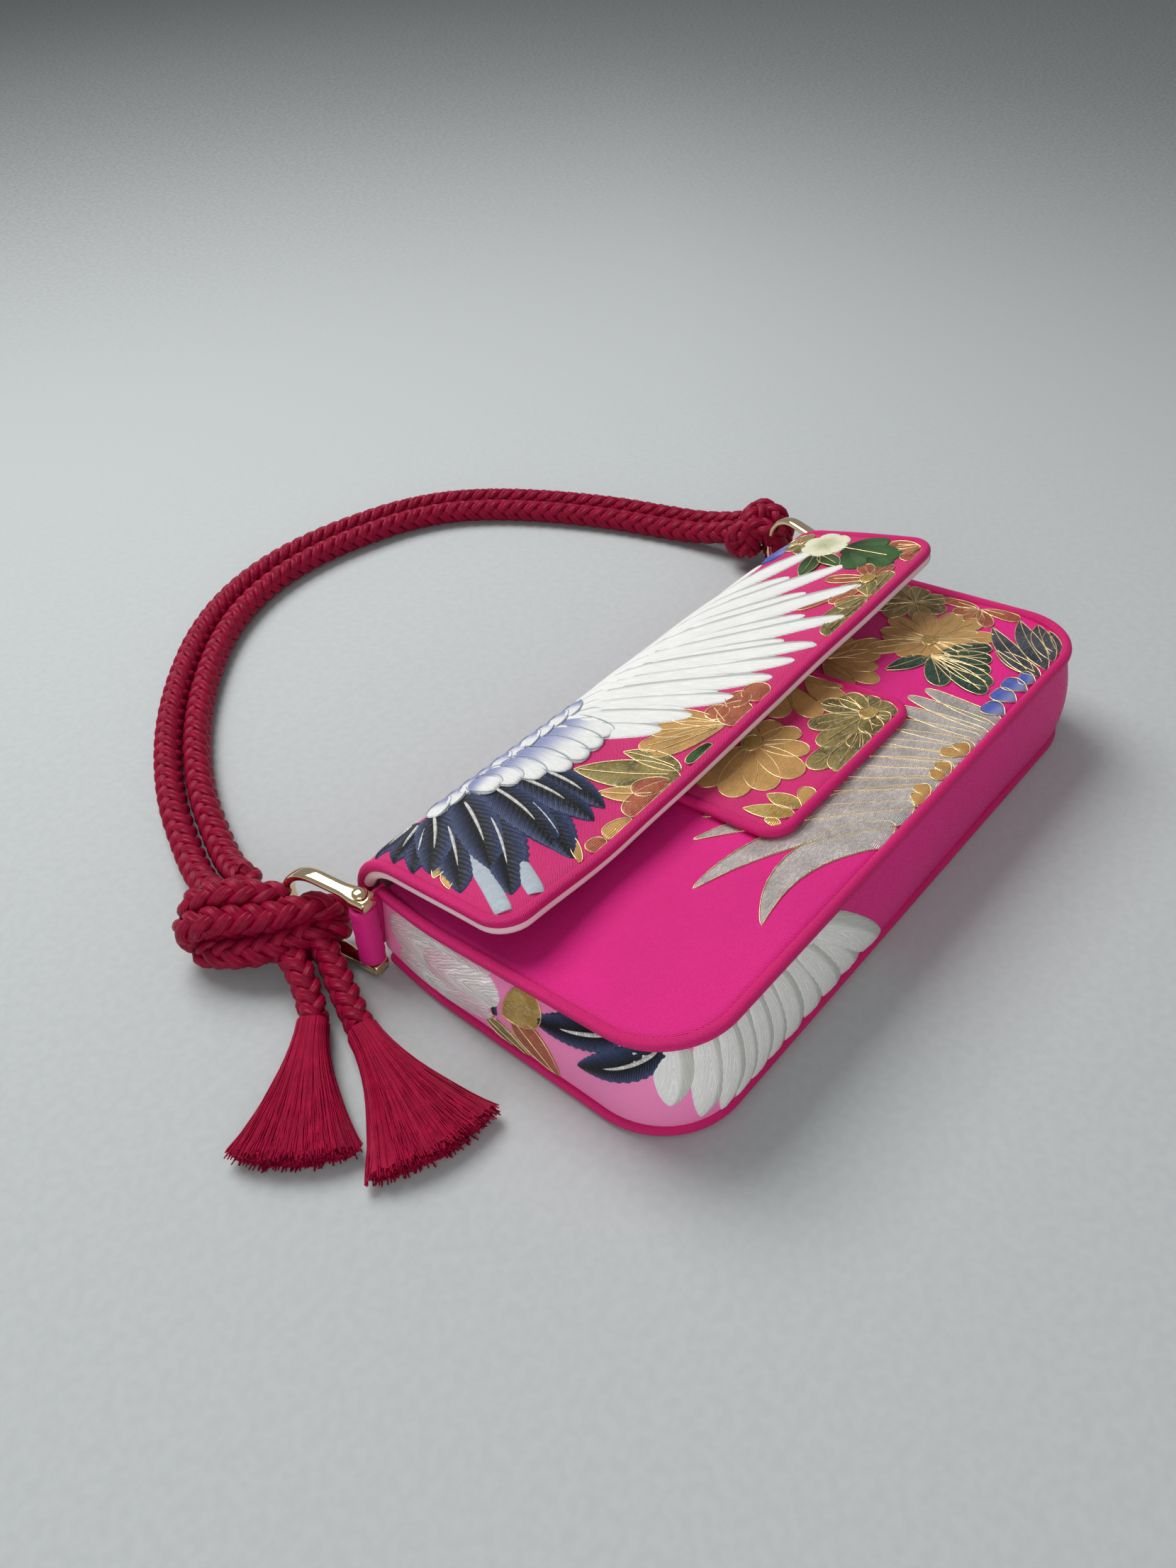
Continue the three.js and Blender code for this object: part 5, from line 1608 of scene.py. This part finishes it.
class Stitching:
    """Gathers the raised work of one surface, then makes one piece for each material."""

    def __init__(self, name, face, limit, sink, motion):
        self.name, self.face, self.limit, self.sink, self.motion = name, face, limit, sink, motion
        self.sheets, self.threads = {}, {}

    def on_cloth(self, x, y, height):
        x, y = self.limit(x, y)
        return raised(self.face, x, y, height - self.sink(x, y)), x, y

    def blade(
        self, material, base, tip, width, profile, bend, crown, lift=0.0, groove=0.0, edge=None, ragged=0.0
    ):
        """One feather, petal or leaf from base to tip; ragged jags its edge."""
        along = RAGGED_ALONG if ragged else ALONG
        line, heading = bent_line(base, tip, bend, along)
        half = width / 2 * swell(along, profile) * (1 - ragged * (np.arange(len(along)) % 2))
        offset = half[:, None] * ACROSS
        dome = (1 - np.abs(ACROSS) ** (6 if crown < 0.45 else 2.2)) ** 0.55
        taper = np.minimum(1, half / (width / 2) * 1.5) ** 0.6
        height = (lift + crown * dome) * taper[:, None]
        height -= groove * np.exp(-((ACROSS / 0.16) ** 2)) * taper[:, None]
        height[:, [0, -1]] = SUNK_EDGE
        x, y = line[:, :1] - heading[:, 1:] * offset, line[:, 1:] + heading[:, :1] * offset
        points, x, y = self.on_cloth(x, y, height)
        rows, columns = points.shape[:2]
        last = (rows - 1) * columns
        faces = grid_faces(rows, columns)
        faces += [(a, a + columns, a + 2 * columns - 1, a + columns - 1) for a in range(0, last, columns)]
        faces += [tuple(range(columns)), tuple(range(last, last + columns))]
        share, across = np.broadcast_arrays(along[:, None], ACROSS)
        run = share * span_of(base, tip)
        pairs = ((x * MM, y * MM), (run * MM, offset * MM), (share, across))
        maps = [np.stack(pair, -1).reshape(-1, 2) for pair in pairs]
        self.sheets.setdefault(material, []).append((points.reshape(-1, 3), faces, maps))
        if edge:
            starts = np.arange(rows) * columns
            rim = np.concatenate([starts + 1, (starts + columns - 2)[::-1]])
            level = np.concatenate([taper, taper[::-1]]) * (lift + crown * 0.85)
            thread = self.on_cloth(x.ravel()[rim], y.ravel()[rim], level)[0]
            self.threads.setdefault(edge, []).append((thread, True))

    def vein(self, base, tip, bend, height, start, end):
        """A gold thread down the middle of a blade, over part of its length."""
        count = max(6, int(span_of(base, tip) / 3))
        line, _ = bent_line(base, tip, bend, np.linspace(start, end, count))
        points = self.on_cloth(line[:, 0], line[:, 1], np.full(count, float(height)))[0]
        self.threads.setdefault("gold_thread", []).append((points, False))

    def petals(self, material, root, tips, width, profile="petal", bend=0.0, lift=0.05, vein=0.0):
        """Petals or lobes from one root, each with a gold thread down its middle as far as vein says."""
        for k, tip in enumerate(tips):
            height = lift + 0.05 * (k % 2)
            self.blade(material, root, tip, width, profile, bend, 0.34, height, edge="gold_thread")
            if vein:
                self.vein(root, tip, bend, lift + 0.46, 0.12, vein)

    def lobe(self, material, centre, side, width, crown, lift):
        """A round lobe, side long to the left and right of its centre."""
        base, tip = np.subtract(centre, side), np.add(centre, side)
        self.blade(material, base, tip, width, "round", 0.0, crown, lift, edge="gold_thread")

    def heart(self, centre, size):
        self.lobe("yellow_foil", centre, np.array([size, 0.0]), 1.7 * size, 0.6, 0.35)

    def make(self):
        for material, sheets in self.sheets.items():
            points, faces, maps, start = [], [], ([], [], []), 0
            for sheet, own, layers in sheets:
                faces += [tuple(i + start for i in face) for face in own]
                points.append(sheet)
                for kept, layer in zip(maps, layers):
                    kept.append(layer)
                start += len(sheet)
            named = dict(zip(("Cloth", "Stitch", "Share"), (np.concatenate(m) for m in maps)))
            name = f"{self.name}_{material}"
            sew(mesh_piece(name, np.concatenate(points), faces, f"bag_{material}", named, 50.0), self.motion)
        values = {"Radius": bpy.context.scene.bag_cloth.outline_radius}
        for material, paths in self.threads.items():
            sew(grow(f"{self.name}_{material}", paths, "Laid thread", f"bag_{material}", values), self.motion)


def keep_inside(x, y, half, low, radius):
    """Moves places outside a sheet with round lower corners to its edge."""
    across = np.maximum(np.abs(x) - (half - radius), 0)
    down = np.maximum(low + radius - y, 0)
    far = np.maximum(np.hypot(across, down), 1e-6)
    back = np.minimum(1, radius / far)
    return x - np.sign(x) * across * (1 - back), y + down * (1 - back)


def between(pairs, count):
    """Blades spread evenly between given ones, each a base and a tip."""
    known = np.asarray(pairs, float).reshape(len(pairs), 4)
    at, k = np.linspace(0, len(pairs) - 1, count), np.arange(len(pairs))
    spread = np.stack([np.interp(at, k, known[:, i]) for i in range(4)], 1)
    return [(row[:2], row[2:]) for row in spread]


# Feathers and scales of the flap: base and tip, and for the navy ones width and bend.
FLAP_WING = (
    ((-44, 56), (-23.5, 25.9)), ((-38, 59), (-11.5, 21.9)), ((-32, 61), (4.5, 14.9)), ((-26, 63), (20, 10.4)),
    ((-20, 65), (32, 9)), ((-14, 67), (44, 7.5)), ((-8, 69), (65, 7.5)), ((-2, 71), (87, 13.9)),
    ((4, 73), (99.5, 29.4)), ((10, 76), (109, 47.9)), ((16, 80), (95, 67)),
)
FLAP_COVERTS = (((-46, 60), (-30, 47)), ((-40, 64), (-20, 54)), ((-31, 68), (-8, 60)), ((-22, 72), (6, 67)))
SCALES = (
    ((-39.5, 61), (-35.5, 39)), ((-47, 61), (-42.5, 38)), ((-54, 61), (-50, 37.8)),
    ((-61.5, 61), (-58.5, 38.5)), ((-68.5, 61), (-66.5, 43)), ((-75.5, 62), (-73, 47.5)),
    ((-82, 62), (-79.5, 51)),
)
NAVY_UNDER = (
    ((-100, 56), (-122.5, 26.4), 16, 0.05), ((-89, 48), (-114.5, 12.9), 18, 0.07),
    ((-77, 42), (-90, 9.9), 16, 0.07), ((-104, 63), (-124, 55), 13, 0.0), ((-104, 60), (-124, 46), 12, 0.0),
    ((-104, 66), (-124, 66), 12, 0.05),
)
NAVY_OVER = (
    ((-99, 62), (-121.5, 40.9), 15, 0.06), ((-89, 60), (-110, 24.9), 17, 0.06),
    ((-80, 58), (-90, 15.9), 17, 0.1), ((-72, 54), (-72.5, 15.9), 15, 0.08),
    ((-64, 48), (-66, 16.9), 12, 0.08),
)


def flap_wing(work):
    for (base, tip), (next_base, next_tip) in zip(FLAP_WING, FLAP_WING[1:]):
        base, tip = np.add(base, next_base) / 2, np.add(tip, next_tip) / 2
        work.blade("white_silk", base, tip + (base - tip) * 0.2, 12.6, "wing", 0.075, 0.85, 0.02)
    for k, (base, tip) in enumerate(FLAP_WING):
        work.blade("white_silk", base, tip, 12.6, "wing", 0.075, 0.85, 0.1 + 0.06 * (k % 2))
    for k, (base, tip) in enumerate(between(FLAP_COVERTS, 7)):
        work.blade("white_silk", base, tip, 9.0, "wing", 0.07, 0.75, 0.35 + 0.08 * (k % 2))
    # Both rows of scales are outlined in blue-grey stem silk, a thread that stands in for the shade along
    # each scale's edge.
    for k in range(10):
        base, tip = (-24 - 7.4 * k, 66), (-35.5 - 7.4 * k, 59.5)
        work.blade("scale_silk", base, tip, 8.0, "scale", 0.05, 0.7, 1.0 + 0.1 * (k % 2), edge="stem_silk")
    for k, (base, tip) in enumerate(SCALES):
        work.blade("scale_silk", base, tip, 11.2, "scale", 0.04, 0.95, 0.25 + 0.16 * k, edge="stem_silk")


def navy_feathers(work, feathers, lift):
    for base, tip, width, bend in feathers:
        work.blade("navy_silk", base, tip, width, "dart", bend, 0.7, lift, 0.2, ragged=0.09)
        base, tip = np.asarray(base, float), np.asarray(tip, float)
        start, end = base + (tip - base) * 0.12, base + (tip - base) * 0.72
        square = np.array([base[1] - tip[1], tip[0] - base[0]]) * bend
        start, end = start + square * 0.2, end + square * 0.4
        work.blade("silver_silk", start, end, 1.3, "plume", bend, 0.5, lift + 0.5)


FLAP_PETALS = ((-37, 22), (-36, 26.5), (-27, 29.5), (-15, 29), (-4, 19))
FLAP_LEAF = (
    ((112, 42), (110, 12), 15), ((111, 36), (98, 23), 11), ((113, 38), (121, 22), 10),
    ((108, 26), (103, 12), 9),
)


def flap_left(work):
    navy_feathers(work, NAVY_UNDER, 0.1)
    navy_feathers(work, NAVY_OVER, 0.5)
    for base, tip in (((-106, 42), (-121, 10)), ((-98, 32), (-109, 7.5))):
        work.blade("stem_silk", base, tip, 6.2, "stem", 0.04, 0.6, 0.05)
    work.petals("olive_foil", (-110, 45), ((-122.5, 38.5),), 6.5, "leaf", 0.1)
    work.petals("gold_foil", (-117, 38), ((-123, 31),), 4.6, "leaf")
    work.petals("gold_foil", (-82.5, 17), ((-89.5, 7.2),), 3.4, "round")


def flap_middle(work):
    work.petals("olive_foil", (-39, 6.5), ((-57, 38),), 15, "leaf", 0.05, 0.08, 0.95)
    work.petals("gold_foil", (-50, 7), ((-61.5, 24),), 8, "leaf", 0.08, 0.04, 0.9)
    work.petals("olive_foil", (-37, 8), ((-40.5, 30),), 8.5, "leaf", -0.1, 0.02, 0.9)
    work.petals("blossom_foil", (-42.5, 7.5), ((-64.5, 9.5), (-55, 14)), 9, "petal", -0.05, 0.2)
    work.petals("gold_foil", (-64, 7.2), ((-76, 8.6),), 7, "petal", 0.0, 0.1)
    work.petals("blossom_foil", (-76.5, 7.2), ((-84, 9.6),), 6, "round")
    work.petals("gold_foil", (-10, 9), FLAP_PETALS, 9, vein=0.9)
    work.blade("green_silk", (-20.5, 7.4), (-33.5, 8.8), 4.4, "round", 0.04, 0.6, 0.1, edge="gold_thread")
    for centre, size in (((10, 10.5), 5.6), ((-6.2, 15.5), 4.6), ((3.5, 13.5), 5.0), ((-3.5, 9.8), 7.0)):
        work.lobe("blossom_foil", centre, np.array([size, -0.6]), size * 1.8, 0.42, 0.14)


def flap_right(work):
    work.petals("blossom_foil", (92, 14), ((62, 28), (70, 18), (86, 30), (101, 22), (104, 12)), 7, vein=0.8)
    work.petals("olive_foil", (80, 8), ((50, 8.5), (58, 13), (69, 15), (90, 15), (99, 9)), 8.5, vein=0.85)
    work.heart((91, 14.5), 3.4)
    work.petals("blossom_foil", (120, 8), ((111, 18), (118, 21), (108, 9)), 7, vein=0.7)
    for base, tip, width in FLAP_LEAF:
        work.blade("green_silk", base, tip, width, "petal", 0.0, 0.65, 0.2, 0.2)
    work.vein((112, 42), (109, 14), 0.0, 0.85, 0.1, 0.9)
    for root, tip in (((104, 46), (85.5, 41.5)), ((104, 44), (97, 31))):
        work.blade("green_silk", root, tip, 8, "leaf", 0.06, 0.6, 0.3, 0.2, edge="gold_thread")
        work.vein(root, tip, 0.06, 0.95, 0.1, 0.85)
    work.petals("olive_foil", (112, 58), ((104, 51), (105, 62), (114, 66), (121, 60)), 8.5, vein=0.7)
    for turn in np.radians(np.arange(20, 380, 60)):
        tip = (112.5 + 10.5 * math.cos(turn), 46 + 9.5 * math.sin(turn))
        work.blade("cream_silk", (112.5, 46), tip, 9.0, "petal", 0.0, 0.6, 0.45)
    for base, tip in (((107, 60.5), (95.5, 67)), ((113, 62), (100.5, 70))):
        work.blade("blue_silk", base, tip, 5.6, "petal", 0.1, 0.6, 0.3)


TAB_WIDE = ((-35.6, 5.4), (-34.8, -7.4), (-25.2, -15.5), (-13.2, -20.6))
TAB_NARROW = ((0.4, -15.8), (8.4, -7), (8.8, 2.6), (-0.5, 10.5))
TAB_OLIVE = (
    (26.8, -4), (12, -8), (4.5, -17), (20, -29), (29, -29.4), (38.5, -27), (39.5, -15.5), (35.5, -8.5),
)
TAB_SIDE = (
    ((36, 9), (29.6, -10.8), 11.5), ((29.6, 12), (18.4, -7.4), 10.5), ((30, 16), (10.4, 4.6), 11.5),
    ((36, 13), (40, -5), 6),
)
TAB_LOW = ((-8, -21), (-4.5, -28.5), (10, -29.5))
TAB_LEAVES = (
    ((-26, -29.6), (-26.8, -16.6), 7.4), ((-30, -29.6), (-37.2, -14.2), 7.4), ((-37, -29), (-38, -23), 3.6),
)


def tab_work(work):
    work.petals("gold_foil", (-6.8, 3.2), TAB_WIDE, 13.0)
    work.petals("gold_foil", (-6.8, 3.2), TAB_NARROW, 9.6)
    work.petals("gold_foil", (-14, 12), ((-30, 12),), 8)
    work.heart((-6.6, 3.0), 4.6)
    work.petals("olive_foil", (29.5, -21.5), TAB_OLIVE, 9.6, lift=0.1, vein=0.85)
    work.petals("olive_foil", (20, -23.5), TAB_LOW, 10, "petal", 0.06, 0.16, 0.9)
    work.heart((29.5, -21.5), 3.8)
    for root, tip, width in TAB_SIDE:
        work.petals("gold_foil", root, (tip,), width)
    for root, tip, width in TAB_LEAVES:
        work.petals("yellow_foil", root, (tip,), width, "leaf", 0.06)
    work.petals("gold_foil", (-25, -29), ((-16.4, -26.5),), 6.4)


# Feathers of the silver wing: base, tip, width and bend.
SILVER_WING = (
    ((-12, -60), (-71.5, -48), 14, 0.38), ((0, -60), (-70, -21.5), 14, 0.2),
    ((10, -60), (-51, -7.5), 13, 0.1), ((15, -60), (-40, -3), 13, 0.08),
    ((20, -60), (-27, 2), 12.5, 0.06), ((25, -60), (-12, 2), 12.5, 0.05),
    ((30, -60), (2, -4), 12, 0.04), ((34, -60), (14, -12), 11.5, 0.03),
    ((39, -60), (27, -20), 11, 0.0), ((44, -60), (37, -24), 10, 0.0), ((48, -60), (47, -24.5), 9, 0.0),
    ((53, -60), (55.5, -25.5), 8, -0.02), ((58, -60), (63, -28.5), 8, -0.04),
)
FRONT_LOW = ((75, -3), (66, -7), (57.5, -12), (84, 2), (49, -5), (80, 12))
FRONT_OLIVE = ((126, -6), (114, -9), (105, -4), (101, 9.5), (104, 19), (113, 21), (122, 18), (127, 8))
FRONT_HIGH = ((92, 26), (90, 36), (98, 22), (110, 23), (120, 30))
FRONT_GOLD = (
    (88, 3.5), (75.5, 3.5), (78, -9), (84, -28.5), (98, -33), (107.5, -34), (115, -24), (115, -14), (111, -1),
    (101, 7),
)
FRONT_INNER = ((80, -16), (91, 6), (106, -28), (90, -31))
FRONT_BLOSSOM = ((124, -4), (115, -12), (111, -20), (112.5, -28), (123.5, -36))
FRONT_LEAVES = ((67.5, -32), (71, -47.5), (77, -47), (84, -43), (92, -40), (100, -36))
FRONT_SLATE = (
    ((92, -59), (99, -38), 8.5), ((90, -57), (113.5, -29.5), 9), ((97, -59), (123.2, -36), 9.5),
    ((103, -58.5), (124, -43), 8.5), ((108, -58), (121.5, -48.5), 7),
)
FRONT_BLUE = (
    ((63, -59.2), (64.5, -50.5)), ((72.5, -59), (73.5, -49.5)), ((81, -59.2), (81, -49.5)),
    ((88, -59), (86.5, -53)),
)


def front_work(work):
    for k, (base, tip, width, bend) in enumerate(SILVER_WING):
        profile, lift = "sickle" if k < 4 else "wing", 0.05 * (k % 3)
        work.blade("silver_foil", base, tip, width, profile, -bend, 0.4, lift, edge="gold_thread")
    for x, y in ((31, -51), (18, -54.5), (4, -55.5)):
        work.petals("gold_foil", (x + 4, -59.3), ((x, y), (x + 8, -54)), 6, lift=0.3)
    work.petals("gold_foil", (62, 14), FRONT_LOW, 9.4, lift=0.02)
    work.petals("olive_foil", (116, 5), FRONT_OLIVE, 9, lift=0.02, vein=0.8)
    work.petals("gold_foil", (104, 34), FRONT_HIGH, 9.5, lift=0.02, vein=0.8)
    work.petals("gold_foil", (93, -14), FRONT_GOLD, 9.4, lift=0.1, vein=0.82)
    work.petals("gold_foil", (93, -14), FRONT_INNER, 7.4, lift=0.16, vein=0.8)
    work.heart((93, -14), 3.6)
    work.petals("blossom_foil", (122, -20), FRONT_BLOSSOM, 6.6, vein=0.6)
    work.petals("leaf_foil", (84, -18.5), ((66.5, -9.8),), 8.5, "leaf", 0.06, 0.2, 0.95)
    work.petals("leaf_foil", (84, -19), FRONT_LEAVES, 9.6, "petal", 0.03, 0.2, 0.92)
    for root, tip, width in FRONT_SLATE:
        work.petals("slate_foil", root, (tip,), width, "leaf", 0.08, 0.25, 0.95)
    for root, tip in FRONT_BLUE:
        work.blade("blue_silk", root, tip, 9.6, "petal", 0.0, 0.55, 0.2, edge="gold_thread")


# Feathers of the left end: base, tip and width, measured along the gusset and up from the back.
GUSSET_WING = (
    ((107, 40), (107, 29), 7), ((116, 42), (115.5, 17), 10), ((126, 42), (124, 7), 10),
    ((133, 42), (131, 3.5), 9.5), ((139, 40), (139, -4), 9), ((145.5, 40), (148, -8), 9),
    ((151, 40), (158, -8), 9.5), ((157, 40), (169, -8), 10), ((163, 40), (182, -8), 10.5),
    ((169, 40), (195, -8), 11), ((174, 40), (208, -7), 11.5), ((179, 40), (221, -3), 12),
)
GUSSET_BODY = (
    ((3.5, 17), (29, 20), 20), ((5, 29), (27, 31), 10), ((8, 8), (30, 8.5), 10), ((22, 28), (53, 33), 14),
    ((22, 17), (57, 24), 18), ((24, 9), (54, 15), 12), ((42, 34), (61, 34), 6),
)
GUSSET_NAVY = (
    ((101, 40), (70, 25.5), 12, 0.08), ((115, 41), (88.5, 20), 12, 0.06), ((66, 37), (57, 31.5), 4, 0.0),
)


def gusset_work(work):
    for k, (base, tip, width) in enumerate(GUSSET_BODY):
        crown, lift = (0.9, 0.14 * (k % 3)) if base[0] > 20 else (0.45, 0.0)
        work.blade(("end_white_silk", "end_pink_silk")[k % 2], base, tip, width, "round", 0.06, crown, lift)
    for k, (base, tip, width) in enumerate(GUSSET_WING):
        profile, lift = "dart" if k < 4 else "feather", 0.1 + 0.12 * (k % 2)
        work.blade("end_feather_silk", base, tip, width + 1.2, profile, 0.05, 0.65, lift, 0.12)
    work.petals("blossom_foil", (62, 21), ((79.5, 4.2),), 14, "leaf", 0.14, 0.1, 0.9)
    work.petals("olive_foil", (50.5, 13.5), ((68, 5),), 9.5, "leaf", -0.08, 0.15, 0.9)
    work.petals("yellow_foil", (58.5, 18.5), ((71.5, 32),), 13.5, "petal", 0.0, 0.2)
    navy_feathers(work, GUSSET_NAVY, 0.15)
    work.blade("navy_silk", (54, 26), (55, 16.5), 2.6, "stem", 0.0, 0.5)


class BAG_OT_flap_work(BagStep, bpy.types.Operator):
    """Embroiders the flap with a wing, scale feathers, navy feathers, leaves and flowers"""

    bl_idname = "bag.flap_work"
    bl_label = "Flap embroidery"

    def execute(self, context):
        outline = flap_outline(1.4)
        work = Stitching(
            "flap_work", flap_face, lambda x, y: keep_inside(x, y, *outline),
            lambda x, y: dip(corner_distance(x, np.minimum(y, FOLD_Y), *outline)), CREASE_BEND,
        )
        for part in (flap_middle, flap_right, flap_left, flap_wing):
            part(work)
        work.make()
        return {"FINISHED"}


class BAG_OT_tab_work(BagStep, bpy.types.Operator):
    """Embroiders the tab with chrysanthemums"""

    bl_idname = "bag.tab_work"
    bl_label = "Tab embroidery"

    def execute(self, context):
        outline = tab_outline(1.3)

        def limit(x, y):
            x, y = keep_inside(x, y, *outline)
            return x, np.minimum(y, TAB_SEAM_Y - 0.5)

        work = Stitching(
            "tab_work", tab_face, limit, lambda x, y: dip(corner_distance(x, y, *outline), 0.6), TAB_BEND
        )
        tab_work(work)
        work.make()
        return {"FINISHED"}


class BAG_OT_front_work(BagStep, bpy.types.Operator):
    """Embroiders the front with a silver wing, chrysanthemums, leaves and feathers"""

    bl_idname = "bag.front_work"
    bl_label = "Front embroidery"

    def execute(self, context):
        def outline(y):
            return front_outline(np.minimum(y, HEM_Y), 1.6)

        work = Stitching(
            "front_work", front_face, lambda x, y: keep_inside(x, y, *outline(y)),
            lambda x, y: dip(corner_distance(x, y, *outline(y))), "bag",
        )
        front_work(work)
        work.make()
        return {"FINISHED"}


class BAG_OT_gusset_work(BagStep, bpy.types.Operator):
    """Embroiders the left end of the gusset with feathers and leaves"""

    bl_idname = "bag.gusset_work"
    bl_label = "Gusset embroidery"

    def execute(self, context):
        low, high = 3.3, 1.5
        work = Stitching(
            "gusset_work", gusset_face,
            lambda u, z: (np.maximum(u, 0.8), np.clip(z, low, gusset_top(u, high))),
            lambda u, z: seam_dip(z, low, gusset_top(u, high)), "bag",
        )
        gusset_work(work)
        work.make()
        return {"FINISHED"}


STEPS = (
    BAG_OT_stage, BAG_OT_knots, BAG_OT_tails, BAG_OT_tassels, BAG_OT_ropes, BAG_OT_front, BAG_OT_gusset,
    BAG_OT_back, BAG_OT_flap, BAG_OT_tab, BAG_OT_piping, BAG_OT_rings, BAG_OT_loops, BAG_OT_inside,
    BAG_OT_flap_work, BAG_OT_tab_work, BAG_OT_front_work, BAG_OT_gusset_work,
)
GROUPS = {"bag_colours": BagColours, "bag_cloth": ClothSizes, "bag_ropes": RopeSizes}


class BAG_PT_panel(bpy.types.Panel):
    """Lists the steps and sizes of the bag in the sidebar"""

    bl_idname = "BAG_PT_panel"
    bl_label = "Baguette bag"
    bl_space_type = "VIEW_3D"
    bl_region_type = "UI"
    bl_category = "Bag"

    def draw(self, context):
        steps = self.layout.column(align=True)
        for step in STEPS:
            steps.operator(step.bl_idname)
        for name, group in GROUPS.items():
            box = self.layout.box()
            for key in group.__annotations__:
                box.prop(getattr(context.scene, name), key)


def register():
    for name, group in GROUPS.items():
        bpy.utils.register_class(group)
        setattr(bpy.types.Scene, name, bpy.props.PointerProperty(type=group))
    for step in (*STEPS, BAG_PT_panel):
        bpy.utils.register_class(step)


def unregister():
    for step in (BAG_PT_panel, *reversed(STEPS)):
        bpy.utils.unregister_class(step)
    for name, group in reversed(GROUPS.items()):
        delattr(bpy.types.Scene, name)
        bpy.utils.unregister_class(group)


def main():
    register()
    finishes()
    for step in STEPS:
        section, name = step.bl_idname.split(".")
        getattr(getattr(bpy.ops, section), name)()


if __name__ == "__main__":
    main()
